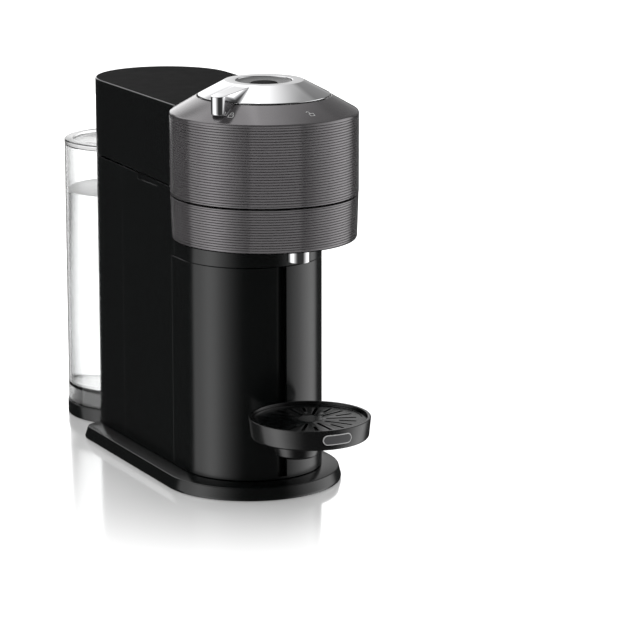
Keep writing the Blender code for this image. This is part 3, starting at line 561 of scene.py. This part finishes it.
def make_lever():
    """The chrome ring that lies on the shelf, and the grip that reaches out over the cone."""
    section = [(RECESS_R, RECESS_FOOT), (RECESS_R, LEVER_TOP, 0.0007),
               (LEVER_FLAT_R - 0.0002, LEVER_TOP, 0.0012), (CONE_R - 0.0006, LEVER_FOOT + 0.0005, 0.0005),
               (CONE_R - 0.0012, LEVER_FOOT, 0.0002),
               (SHELF_HOLE_R - 0.0005, LEVER_FOOT), (SHELF_HOLE_R - 0.0005, RECESS_FOOT)]
    bm = lathe(fillet(section, steps=6), 256, HEAD_AXIS)
    piece("lever_chrome", bm, CHROME, "lever", ["lever_ring"], "chrome", 40)

    # The grip's side view as (distance from the head's axis, height), and its slices from side to side
    profile = fillet([(0.0268, 0.3068), (0.0490, 0.3040, 0.004), (LEVER_REACH, 0.2942, 0.0020),
                      (LEVER_REACH, 0.3098, 0.0009), (0.0560, 0.3109, 0.02), (0.0268, 0.3130)], steps=6)
    middle = Vector((0.045, 0.3055))
    half_slices, edge_start, edge_size, nose_round = 14, 0.86, 0.0007, 0.0050
    outlines = []
    for k in range(-half_slices, half_slices + 1):
        t = sin(pi / 2 * k / half_slices)  # -1 on one side to 1 on the other
        into_edge = max(0, (abs(t) - edge_start) / (1 - edge_start))
        edge = edge_size * (1 - sqrt(max(0, 1 - into_edge**2)))
        row = []
        for s, z in profile:
            half = 0.00590 + 0.03 * (LEVER_REACH - s)
            nose = max(0, (s - NOSE_START) / (LEVER_REACH - NOSE_START))
            pull = nose * nose_round * (1 - sqrt(max(0, 1 - t * t)))
            toward = (Vector((s, z)) - middle).normalized()
            row.append((t * half * (1 - 0.04 * nose), -(s - pull - toward.x * edge), z - toward.y * edge))
        outlines.append(row)
    piece("lever_grip", turned(loft(outlines), spin(-LEVER_ANGLE)), CHROME, "lever", (), "chrome", 38)


def make_button():
    """The brew button in its dished grey surround."""
    bezel = [(0.0190, 0.2982), (0.0207, 0.2982), (0.0207, 0.3132, 0.0002), (0.0203, 0.3132, 0.0002),
             (0.0185, 0.3119, 0.003), (0.0106, 0.3112, 0.0004), (0.0106, 0.3065), (0.0190, 0.3055)]
    bm = lathe(fillet(bezel, steps=4), 128, HEAD_AXIS)
    piece("button_bezel", bm, RECESS_GREY, "head", ["button_surround"], "dark_grey")
    cap = [(0, 0.3035), (0.0098, 0.3035), (0.0098, 0.3120, 0.0006), (0.0050, 0.3123, 0.01), (0, 0.3122)]
    bm = lathe(fillet(cap, False), 96, HEAD_AXIS)
    piece("button_cap", bm, BUTTON_BLACK, "button", ["brew_button"], "gloss_black")


def make_padlock(name, angle, shackle_shift):
    """A small outline of a padlock that lies on the grey cone. Its shackle is open where it is shifted."""
    line_half, half, foot, shoulder, arch_r = 0.00022, 0.0019, -0.0024, 0.0004, 0.0012
    out, lift = 0.0615, 0.00015  # from the head's axis, and above the cone
    bm = bmesh.new()

    def bar(points):
        for start, end in zip(points, points[1:]):
            a, b = Vector(start), Vector(end)
            side = Vector((-(b - a).y, (b - a).x)).normalized() * line_half
            corners = [a - side, b - side, b + side, a + side]
            bm.faces.new([bm.verts.new((p.x, p.y, 0)) for p in corners])

    bar([(-half, foot), (half, foot), (half, shoulder), (-half, shoulder), (-half, foot)])
    turns = [pi * k / 12 for k in range(13)]
    arch = [(arch_r * cos(a) + shackle_shift, 0.0016 + arch_r * sin(a)) for a in turns]
    second_leg = [] if shackle_shift else [(arch[-1][0], shoulder)]
    bar([(arch[0][0], shoulder)] + arch + second_leg)
    lean = atan2(CONE_TOP - COVER_CREASE, HEAD_R - CONE_R - 0.0003)
    height = COVER_CREASE + (HEAD_R - out) * tan(lean) + lift
    place = spin(-angle) @ Matrix.Translation((0, -out, height)) @ Matrix.Rotation(lean, 4, "X")
    piece(name, turned(bm, place), MARK, "head")


# Body


def above_seam():
    """All that is above the sloping seam, for cutting."""
    corners = [(-PAST_SIDE, -PAST_END), (PAST_SIDE, -PAST_END), (PAST_SIDE, PAST_END), (-PAST_SIDE, PAST_END)]
    slope = [(x, y, SEAM_FRONT + SEAM_SLOPE * (y - COLUMN_Y)) for x, y in corners]
    return loft([slope, [(x, y, PAST_TOP) for x, y in corners]])


SEAM_BEVEL = dict(bevel=0.0010, segments=4)
PANEL_GAP_HALF = 0.0002


def make_side_walls():
    """The body's sides and its front bulkhead, with a finger notch in each side."""
    inner, front, back = BODY_R - WALL, HEAD_Y + 0.0436, PANEL_LINE_Y - PANEL_GAP_HALF
    bulkhead = CONTAINER_BACK_Y + 0.0030
    plan = [(-BODY_R, front), (BODY_R, front), (BODY_R, back), (inner, back), (inner, bulkhead),
            (-inner, bulkhead), (-inner, back), (-BODY_R, back)]
    bay = box((-PAST_SIDE, -PAST_END, 0), (PAST_SIDE, CONTAINER_BACK_Y + GAP, COLUMN_TOP + GAP))
    drive = box((-inner, -PAST_END, COLUMN_TOP - 0.004), (inner, CONTAINER_BACK_Y + 0.01, 0.26))
    drum = rod(HEAD_R + GAP, 0.1945, 0.31, 192, HEAD_AXIS)
    notch = BODY_R - NOTCH_DEPTH
    notches = [box((x0, NOTCH_START_Y, NOTCH_FOOT), (x1, NOTCH_END_Y, PAST_TOP))
               for x0, x1 in ((-PAST_SIDE, -notch), (notch, PAST_SIDE))]
    bm = cut(prism(plan, HOUSING_FOOT, HOUSING_BLANK_TOP), bay, drive, drum, above_seam(), *notches)
    piece("side_walls", bm, BLACK, "base", ["mid_housing"], "satin_black", 30, **SEAM_BEVEL)


def make_rear_shell():
    """The round back, with the rubber bush that a cord would leave through."""
    front, inner = PANEL_LINE_Y + PANEL_GAP_HALF, BODY_R - WALL
    plan = [(BODY_R, front)] + arc(BACK_Y, BODY_R, 0, pi, 96) + [(-BODY_R, front), (-inner, front)]
    plan += arc(BACK_Y, inner, pi, 0, 96) + [(inner, front)]
    relief = box((-0.06, HINGE_Y - 0.010, 0.2275), (0.06, PAST_END, PAST_TOP))
    outwards = spin(radians(35), BACK_Y, 0.0220) @ Matrix.Rotation(pi / 2, 4, "Y")
    hole = turned(rod(0.0044, 0.04, 0.07, 32), outwards)
    bm = cut(prism(plan, HOUSING_FOOT, HOUSING_BLANK_TOP), above_seam(), relief, hole)
    piece("rear_shell", bm, BLACK, "base", ["rear_housing"], "satin_black", 30, **SEAM_BEVEL)
    # (radius, distance out from the shell's face, rounding)
    bush = [(0, -0.0055), (0.0041, -0.0055), (0.0041, 0.0006), (0.0054, 0.0009, 0.0003),
            (0.0052, 0.0026, 0.0003), (0.0046, 0.0028), (0.0050, 0.0042, 0.0003), (0.0046, 0.0046),
            (0.0046, 0.0070, 0.0004), (0.0034, 0.0070), (0.0034, -0.0030), (0, -0.0030)]
    section = fillet([(radius, BODY_R + out, *rounding) for radius, out, *rounding in bush], False, 3)
    piece("gland_bush", turned(lathe(section, 48), outwards), RUBBER, "base", ["cord_gland"], "rubber")


def make_container():
    """The round-ended used-pod container, with the slot that the cup support slides in."""
    low, high = HOUSING_FOOT, COLUMN_TOP - GAP
    front, back, sill = COLUMN_Y - BODY_R, CONTAINER_BACK_Y, HOUSING_FOOT + 0.002
    past_top = 0.2
    plan = arc(COLUMN_Y, BODY_R, -pi, 0, 128) + [(BODY_R, back), (-BODY_R, back)]
    r = BODY_R - WALL
    inside = prism(arc(COLUMN_Y, r, -pi, 0, 96) + [(r, back - WALL), (-r, back - WALL)], low + WALL, past_top)
    rail = box((-0.0085, front + 0.0015, low + 0.0004), (0.0085, front + 0.0090, high - 0.0004))
    slot = box((-0.0040, front - 0.01, sill), (0.0040, front + 0.0040, past_top))
    groove = box((-0.0060, front + 0.0030, sill), (0.0060, front + 0.0068, past_top))
    bm = cut(soft_prism(plan, low, high, 0.0005, 0.0006), inside)
    bm = cut(cut(bm, rail, operation="UNION"), slot, groove)
    piece("container_shell", bm, BLACK, "container", ["pod_container"], "satin_black", 30, bevel=0.0003)


def make_base():
    """The base plate with the tank's seat, and its rubber feet."""
    def plan(inset, z):
        r, corner, steps = BASE_R - inset, BASE_CORNER_R - inset * 0.3, 8
        points = arc(COLUMN_Y, r, -pi, 0, 128)
        for side, start in ((1, 0), (-1, pi / 2)):
            x, y = side * (r - corner), BASE_END_Y - inset - corner
            for a in (start + pi / 2 * k / steps for k in range(steps + 1)):
                points.append((x + corner * cos(a), y + corner * sin(a)))
        return [(x, y, z) for x, y in points]

    rows = [(0.0100, BASE_UNDERSIDE), (0.0004, BASE_UNDERSIDE, 0.0006), (0, 0.0024, 0.001),
            (0.0020, 0.0102, 0.0011), (0.0130, BASE_TOP)]
    plate = loft([plan(inset, z) for inset, z in fillet(rows, False)])
    pad = rod(BODY_R + 0.0008, BASE_UNDERSIDE, BASE_TOP, 128, BACK_AXIS)
    seat = [(0, BASE_UNDERSIDE), (SEAT_R, BASE_UNDERSIDE, 0.0008), (SEAT_R, BASE_TOP, 0.0012), (0, BASE_TOP)]
    seat = lathe(fillet(seat, False), 160, TANK_AXIS)
    socket = crescent(TANK_R - TANK_WALL - 0.0022, NEST_R + 0.0045, 0.001)
    socket = soft_prism(socket, 0.006, 0.0240, 0.0004, 0.0006)
    bm = cut(cut(plate, pad, seat, socket, operation="UNION"), rod(0.0110, 0.0160, 0.03, 48, VALVE_AXIS))
    pockets = [rod(0.0093, -0.001, 0.0033, 40, at) for at in FEET]
    pockets += [rod(0.0040, -0.001, 0.0058, 28, at) for at in SCREWS]
    piece("base_body", cut(bm, *pockets), BLACK, "base", ["base_plate"], "satin_black", 30)
    foot = fillet([(0, 0), (0.0062, 0), (0.0064, 0.0003), (0.0072, 0.0003), (0.0074, 0), (0.0086, 0, 0.0006),
                   (0.0090, 0.0030, 0.0004), (0, 0.0030)], False, 3)
    for k, at in enumerate(FEET, 1):
        piece(f"foot_pad_{k}", lathe(foot, 56, at), RUBBER, "base", [f"foot_{k}"], "rubber")


# Cup support


def make_support():
    """The round cup support with the boss and the hook that hold it to the container, and its badge."""
    inside, ledge_r = 0.0430, 0.0405
    dish = [(0, TRAY_FOOT - 0.002), (0.030, TRAY_FOOT - 0.0014, 0.02),
            (TRAY_R - 0.0016, TRAY_FOOT + 0.0002, 0.0022), (TRAY_R, TRAY_RIM, 0.0007),
            (inside, TRAY_RIM, 0.0004), (inside, GRID_LEDGE), (ledge_r, GRID_LEDGE, 0.0003),
            (ledge_r, TRAY_FLOOR, 0.001), (0, TRAY_FLOOR)]
    dish = lathe(fillet(dish, False), 224, TRAY_AXIS)
    boss = [(0, BOSS_FOOT), (0.0130, BOSS_FOOT, 0.0015), (0.0165, BOSS_FOOT + 0.002, 0.002), (0.0225, 0.0575),
            (0, 0.0575)]
    boss = lathe(fillet(boss, False), 96, (0, BOSS_Y))
    front = COLUMN_Y - BODY_R
    root, near, far = -0.1410, front + 0.0034, front + 0.0064
    stem, bar = 0.0034, 0.0056
    plan = [(-stem, root), (stem, root), (stem, near), (bar, near), (bar, far), (-bar, far), (-bar, near),
            (-stem, near)]
    hook = prism(plan, BOSS_FOOT + 0.0030, TRAY_FLOOR - 0.0015)
    bm = cut(dish, boss, hook, operation="UNION")
    piece("support_dish", bm, DISH_BLACK, "support", ["cup_support"], "satin_black", 32)
    make_pill("badge_rim", 0.0038, 0.0002, BADGE, "steel")
    make_pill("badge_face", 0.0032, 0.00026, INNER, "satin_black")


def make_pill(name, radius, lift, mat, slot):
    """A plain rounded plate on the front of the dish's rim. It stands proud by lift."""
    half_straight, sunk, middle, count = 0.0080, -0.0012, 0.0655, 40
    outlines = []
    for k in range(count + 1):
        u = -(half_straight + radius) * cos(pi * k / count)
        tall = max(0.0004, sqrt(max(0, radius**2 - max(0, abs(u) - half_straight) ** 2)))
        edge, turn = min(0.0002, tall / 2), u / TRAY_R
        half = [(-tall, sunk), (-tall, lift - 0.0001), (edge - tall, lift)]
        across = half + [(-v, r) for v, r in half[::-1]]
        outlines.append([((TRAY_R + r) * sin(turn), TRAY_Y - (TRAY_R + r) * cos(turn), middle + v)
                         for v, r in across])
    piece(name, loft(outlines), mat, "support", (), slot, even=True)


def make_grid():
    """The drip grid: a shallow dished disc with long and short slots in turn."""
    low = GRID_LEDGE + GAP
    section = [(0, low), (0.0426, low, 0.0003), (0.0426, low + 0.0020, 0.0005), (0.0395, low + 0.0020),
               (0.0390, low + 0.0016), (0.0098, low + 0.0016), (0.0090, low + 0.0020, 0.0003),
               (0, low + 0.0020)]
    disc = lathe(fillet(section, False, 4), 192, TRAY_AXIS)
    count, half, outer, rounding, slots = 20, 0.0013, 0.0350, 0.0012, []
    for k in range(count):
        inner = 0.0215 if k % 2 else 0.0120
        corners = ((-half, inner), (half, inner), (half, outer), (-half, outer))
        plan = fillet([(x, y, rounding) for x, y in corners])
        slots.append(turned(prism(plan, 0.06, 0.08), spin(2 * pi * k / count, TRAY_Y)))
    piece("grid_disc", cut(disc, *slots), BLACK, "grid", ["drip_grid"], "satin_black", 32)


def make_nozzle():
    """The coffee outlet under the head."""
    section = [(0.0055, OUTLET_FOOT), (OUTLET_R, OUTLET_FOOT, 0.0007), (OUTLET_R, 0.2035), (0.0055, 0.2035)]
    piece("nozzle", lathe(fillet(section), 96, (0, OUTLET_Y)), CHROME, "base", ["outlet_nozzle"], "chrome")


# Tank


def crescent(radius, nest_radius, tip):
    """Plan of the tank: a circle about TANK_Y with one about BACK_Y bitten out and the tips rounded."""
    steps, dropped = 96, 3  # dropped: the points next to each tip, which its rounding takes the place of
    apart = TANK_Y - BACK_Y
    along = (apart**2 + nest_radius**2 - radius**2) / (2 * apart)
    across = sqrt(nest_radius**2 - along**2)
    end, nest_end = atan2(along - apart, across), atan2(along, across)
    outer = arc(TANK_Y, radius, end, pi - end, steps)
    nest = arc(BACK_Y, nest_radius, pi - nest_end, nest_end, steps // 2)
    left, right = (*outer[-1], tip), (*outer[0], tip)
    return fillet(outer[dropped:-dropped] + [left] + nest[dropped:-dropped] + [right], steps=6)


def make_tank():
    """The clear tank that nests against the round back, its lid, and the water in it."""
    outside = crescent(TANK_R, NEST_R, 0.0016)
    inside = crescent(TANK_R - TANK_WALL, NEST_R + TANK_WALL, 0.0010)
    foot = BASE_TOP + GAP
    rows = [(inside, TANK_FLOOR - 0.0020, 0), (inside, foot + 0.0002, 0), (inside, foot, -0.0003),
            (outside, foot, 0.0004), (outside, foot + 0.0004, 0), (outside, TANK_TOP - 0.0004, 0),
            (outside, TANK_TOP, 0.0004), (inside, TANK_TOP, 0), (inside, TANK_FLOOR + 0.001, 0),
            (inside, TANK_FLOOR, 0.001)]
    loops = [(inset_outline(plan, inset) if inset else plan, z) for plan, z, inset in rows]
    bm = loft([[(x, y, z) for x, y in plan] for plan, z in loops])
    bm = cut(bm, rod(0.0045, 0, 0.03, 32, VALVE_AXIS))
    piece("tank_shell", bm, CLEAR, "tank", ["water_tank"], "clear_plastic", 30)

    lid = soft_prism(outside, TANK_TOP + GAP, LID_TOP, 0.0004, 0.0009, 4)
    recess = soft_prism(crescent(0.0440, NEST_R + 0.0067, 0.002), LID_TOP - 0.0020, PAST_TOP, 0.0006, 0.0001)
    piece("tank_cover", cut(lid, recess), CLEAR_LID, "lid", ["tank_lid"], "clear_plastic", 30)

    room = crescent(TANK_R - TANK_WALL - WATER_GAP, NEST_R + TANK_WALL + WATER_GAP, 0.0010)
    water = soft_prism(room, TANK_FLOOR + WATER_GAP, WATER_LEVEL, 0.001, 0.0001)
    bm = cut(water, rod(0.0108, 0, 0.0428, 48, VALVE_AXIS))
    obj = piece("tank_water", bm, WATER, "tank", (), "clear_plastic", 30)
    # The water's upward faces get the painted reflection
    second_finish(obj, WATER_REFLECTION_PAINT, 0.9, WATER_LEVEL - 0.001)


# Inside


def make_brewing():
    """What shows with the head up: pod cup, gutter, floor and piercing plate."""
    cup = [(0, 0.1842), (0.0080, 0.1842, 0.0004), (0.0080, 0.2000, 0.001), (0.0200, 0.2010, 0.003),
           (0.0300, 0.2090, 0.004), (0.0332, 0.2240), (0.0336, 0.2260, 0.0004), (0.0306, 0.2260, 0.0004),
           (0.0300, 0.2220, 0.001), (0.0270, 0.2110, 0.004), (0.0160, 0.2045, 0.003), (0, 0.2035)]
    holes = [rod(0.0007, 0.2, 0.24, 12, at) for at in round_head(24, 0.0318)]
    bm = cut(lathe(fillet(cup, False), 128, HEAD_AXIS), *holes)
    piece("pod_bowl", bm, ALUMINIUM, "pod_rotor", ["pod_cup"], "aluminium")

    gutter = [(0.0362, 0.1993), (0.0465, 0.1993), (0.0465, 0.2230, 0.0004), (0.0445, 0.2230, 0.0004),
              (0.0445, 0.2040, 0.002), (0.0380, 0.2060, 0.001), (0.0380, 0.2180, 0.0004),
              (0.0362, 0.2180, 0.0004)]
    bm = lathe(fillet(gutter), 128, HEAD_AXIS)
    piece("coffee_gutter", bm, INNER, "base", ["coffee_collector"], "inner_plastic")

    floor = lathe([(0.0133, 0.1962), (0.0662, 0.1962), (0.0662, 0.1990), (0.0133, 0.1990)], 160, HEAD_AXIS)
    stiffeners = [turned(box((-0.0006, 0.0480, 0.1988), (0.0006, 0.0655, 0.2060)), spin(radians(20 + 40 * k)))
                  for k in range(9)]
    drain = rod(OUTLET_R + GAP, 0.19, 0.21, 48, (0, OUTLET_Y))
    bm = cut(cut(floor, *stiffeners, operation="UNION"), drain)
    piece("drum_floor", bm, INNER, "base", ["brew_floor"], "inner_plastic")

    plate = [(0, 0.2215), (0.0012, 0.2240), (0.0012, 0.2277, 0.0004), (0.0270, 0.2277),
             (0.0320, 0.2277, 0.0004), (0.0320, 0.2300, 0.0004), (0.0120, 0.2325), (0.0050, 0.2325),
             (0.0050, 0.2405), (0, 0.2405)]
    spike = [(0, 0.2258), (0.0005, 0.2262), (0.0009, 0.2279), (0, 0.2279)]
    spikes = [lathe(spike, 12, at) for at in round_head(20, 0.0215)]
    bm = cut(lathe(fillet(plate, False, 4), 128, HEAD_AXIS), *spikes, operation="UNION")
    piece("pierce_plate", bm, STEEL, "brew_rotor", ["brew_head"], "inner_plastic")


# Studio

VIEW_YAW = radians(27.175)  # the camera stands this far round from the front towards -X
CAMERA_PLACE, CAMERA_DIP = (-1.0024, -2.1384, 0.6560), 13.01
CAMERA_LENS, CAMERA_SENSOR = 173.34, 36.0

# Brightness seen in reflections, by turn from the camera's side in degrees, positive to the right of the view
SIDES = [(-102, 0), (-98, 0.85), (-85, 0.95), (-75, 1.25), (-65, 1.55), (-55, 1.40), (-45, 0.95),
         (-37, 0.65), (-31, 0.45), (-24, 0.27), (-18, 0.15), (-10, 0.05), (0, 0), (44, 0), (50, 0.10),
         (55, 0.20), (60, 0.32), (65, 0.50), (71, 0.70), (77, 0.85), (84, 1.0), (95, 1.42), (110, 1.58),
         (120, 1.35), (127, 0.8), (131, 0.3), (134, 0)]
BACK = [(-180, 0.68), (-174, 1.3), (-168, 1.8), (-158, 1.4), (-150, 0.4), (-144, 0), (134, 0), (150, 0.22),
        (165, 0.28), (172, 0.45), (180, 0.68)]
EDGE = [(-152, 0), (-146, 1.4), (-132, 1.4), (-122, 0.2), (-114, 0)]

# How much of each of them is left, by height in degrees
SIDES_RISE = [(-62, 0), (-48, 1), (20, 1), (42, 0)]
BACK_RISE = [(1, 0), (5, 1), (90, 1)]
EDGE_RISE = [(17, 0), (25, 1), (50, 1), (60, 0)]

# The light from above, by how far the direction points to the right, upwards and to the camera, each up to 1
TOP_RIGHT = [(0.04, 1.25), (0.36, 0.35), (0.6, 0.2)]
TOP_UP = [(0.5, 0), (0.72, 1)]
TOP_FORWARD = [(-0.1, 1), (0.3, 0)]
DARK = 0.035

SHELL_RADIUS, SHELL_HEIGHT = 3.0, 0.15
FLOOR_HALF = 14.0
POLISH_SHARE, POLISH_REACH, POLISH_END_Y = 0.62, 0.25, 0.15

# The four floor backdrops stay inside the light shell, which would hide them from reflections
BACKDROP = dict(rise=13, aim=Vector((0, 0, 0.14)), distance=1.75, width=3.6, tall=1.14, level=0.75)
HEAD_FILL = dict(turn=15, rise=-13, aim=Vector((0, HEAD_Y, 0.22)), distance=1.5, width=1.8, tall=1.5,
                 level=0.48)


def between(x, table):
    """Reads a table of (x, y) pairs, straight from pair to pair and level past its ends."""
    if x <= table[0][0]:
        return table[0][1]
    for (x0, y0), (x1, y1) in zip(table, table[1:]):
        if x <= x1:
            return y0 + (y1 - y0) * (x - x0) / (x1 - x0)
    return table[-1][1]


def studio_level(turn, rise):
    """Brightness of the studio seen in reflections, by turn and height in degrees."""
    sides = between(turn, SIDES) * between(rise, SIDES_RISE)
    back = between(turn, BACK) * between(rise, BACK_RISE)
    edge = between(turn, EDGE) * between(rise, EDGE_RISE)
    flat, up = cos(radians(rise)), sin(radians(rise))
    rightward, forward = flat * sin(radians(turn)), flat * cos(radians(turn))
    top = between(rightward, TOP_RIGHT) * between(up, TOP_UP) * between(forward, TOP_FORWARD)
    return max(DARK, sides, back, edge, top)


def stage_mesh(name, verts, faces):
    """A mesh of the stage, with an empty material."""
    mesh = bpy.data.meshes.new(name)
    mesh.from_pydata(verts, [], faces)
    obj = bpy.data.objects.new(name, mesh)
    bpy.context.collection.objects.link(obj)
    mat = bpy.data.materials.new(name)
    mat.use_nodes = True
    mat.node_tree.nodes.clear()
    mesh.materials.append(mat)
    return obj, mat.node_tree, mat.node_tree.nodes.new("ShaderNodeOutputMaterial")


def make_light_shell():
    """A sphere, seen only in reflections, that glows by direction."""
    towards = Vector((-sin(VIEW_YAW), -cos(VIEW_YAW), 0))
    right = Vector((cos(VIEW_YAW), -sin(VIEW_YAW), 0))
    verts, glow, around, rows = [], [], 180, 90
    for j in range(rows + 1):
        rise = -90 + 180 * j / rows
        for k in range(around):
            turn = -180 + 360 * k / around
            flat = towards * cos(radians(turn)) + right * sin(radians(turn))
            way = flat * cos(radians(rise)) + Vector((0, 0, sin(radians(rise))))
            verts.append(way * SHELL_RADIUS + Vector((0, 0, SHELL_HEIGHT)))
            glow.append(studio_level(turn, rise))
    faces = []
    for low in (j * around for j in range(rows)):
        for k in range(around):
            n = (k + 1) % around
            faces.append((low + k, low + n, low + around + n, low + around + k))
    obj, tree, out = stage_mesh("studio_walls", verts, faces)
    obj.data.attributes.new("glow", "FLOAT", "POINT").data.foreach_set("value", glow)
    for flag in ("visible_camera", "visible_diffuse", "visible_transmission", "visible_shadow"):
        setattr(obj, flag, False)
    value = tree.nodes.new("ShaderNodeAttribute")
    value.attribute_name = "glow"
    light = tree.nodes.new("ShaderNodeEmission")
    tree.links.new(value.outputs["Fac"], light.inputs["Strength"])
    tree.links.new(light.outputs["Emission"], out.inputs["Surface"])
    obj.data.materials[0].cycles.emission_sampling = "NONE"


def make_floor():
    """White floor, polished close round the machine. The polish fades away from the base's middle."""
    corners = [(x * FLOOR_HALF, y * FLOOR_HALF, 0) for x, y in ((-1, -1), (1, -1), (1, 1), (-1, 1))]
    floor, tree, out = stage_mesh("floor", corners, [(0, 1, 2, 3)])
    kinds = ("BsdfDiffuse", "BsdfGlossy", "NewGeometry", "SeparateXYZ", "Clamp", "Math", "CombineXYZ",
             "VectorMath", "MixShader")
    nodes = [tree.nodes.new(f"ShaderNode{kind}") for kind in kinds]
    matt, gloss, where, split, hold, off, flat, away, mix = nodes
    matt.inputs["Color"].default_value = (0.92, 0.92, 0.92, 1)
    gloss.inputs["Color"].default_value = (1, 1, 1, 1)
    gloss.inputs["Roughness"].default_value = 0.12
    hold.inputs["Min"].default_value, hold.inputs["Max"].default_value = COLUMN_Y, POLISH_END_Y
    off.operation, away.operation = "SUBTRACT", "LENGTH"
    link = tree.links.new
    link(where.outputs["Position"], split.inputs["Vector"])
    link(split.outputs["Y"], hold.inputs["Value"])
    link(split.outputs["Y"], off.inputs[0])
    link(hold.outputs["Result"], off.inputs[1])
    link(split.outputs["X"], flat.inputs["X"])
    link(off.outputs["Value"], flat.inputs["Y"])
    link(flat.outputs["Vector"], away.inputs[0])
    share = spread(tree, away.outputs["Value"], POLISH_SHARE, 0.0, BASE_R, BASE_R + POLISH_REACH)
    link(share, mix.inputs["Fac"])
    link(matt.outputs["BSDF"], mix.inputs[1])
    link(gloss.outputs["BSDF"], mix.inputs[2])
    link(mix.outputs["Shader"], out.inputs["Surface"])
    floor.visible_glossy = False
    return floor


def only_for(light, *objects):
    """Lets a light reach only these objects."""
    group = bpy.data.collections.new(f"{light.name}_reach")
    for obj in objects:
        group.objects.link(obj)
    light.light_linking.receiver_collection = group


def softbox(name, turn, rise, aim, distance, width, tall, level):
    """An area light of a given brightness, by turn and height in degrees round the point that it faces."""
    data = bpy.data.lights.new(name, "AREA")
    data.shape, data.size, data.size_y = "RECTANGLE", width, tall
    data.energy = level * width * tall * pi
    light = bpy.data.objects.new(name, data)
    bpy.context.collection.objects.link(light)
    way = radians(turn) - VIEW_YAW
    light.location = aim + Vector((sin(way), -cos(way), tan(radians(rise)))) * distance
    light.rotation_euler = (aim - light.location).to_track_quat("-Z", "Y").to_euler()
    return light


def make_studio():
    """A white room for diffuse light, the shell for reflections, and lights that only whiten the floor."""
    world = bpy.data.worlds.new("studio")
    bpy.context.scene.world = world
    world.use_nodes = True
    background = world.node_tree.nodes["Background"]
    background.inputs["Color"].default_value = (1, 1, 1, 1)
    background.inputs["Strength"].default_value = 1.0
    make_light_shell()
    floor = make_floor()
    sun = bpy.data.objects.new("floor_wash", bpy.data.lights.new("floor_wash", "SUN"))
    sun.data.energy, sun.data.use_shadow = 1.6, False
    bpy.context.collection.objects.link(sun)
    only_for(sun, floor)
    for turn in (0, 90, 180, 270):
        only_for(softbox(f"floor_backdrop_{turn}", turn, **BACKDROP), floor)


def make_fill():
    """A dim softbox behind the camera, which lightens the middle of the metal head."""
    only_for(softbox("head_fill", **HEAD_FILL), bpy.data.objects["drum_cover"], bpy.data.objects["ring_band"])


def make_camera():
    data = bpy.data.cameras.new("camera")
    data.lens, data.sensor_width = CAMERA_LENS, CAMERA_SENSOR
    data.clip_start, data.clip_end = 0.05, 60.0
    camera = bpy.data.objects.new("camera", data)
    bpy.context.collection.objects.link(camera)
    camera.location = CAMERA_PLACE
    camera.rotation_euler = (radians(90 - CAMERA_DIP), 0, -VIEW_YAW)
    bpy.context.scene.camera = camera


def build():
    bpy.context.scene.view_settings.view_transform = "Standard"
    make_camera()
    make_studio()
    finish_frame_nodes()
    make_base()
    make_side_walls()
    make_rear_shell()
    make_container()
    make_ring()
    make_neck()
    make_nozzle()
    make_brewing()
    make_upper_housing()
    make_cover()
    make_lever()
    make_button()
    make_padlock("mark_closed", radians(49), 0)
    make_padlock("mark_open", radians(-8), -0.0022)
    make_support()
    make_grid()
    make_tank()
    make_fill()


build()
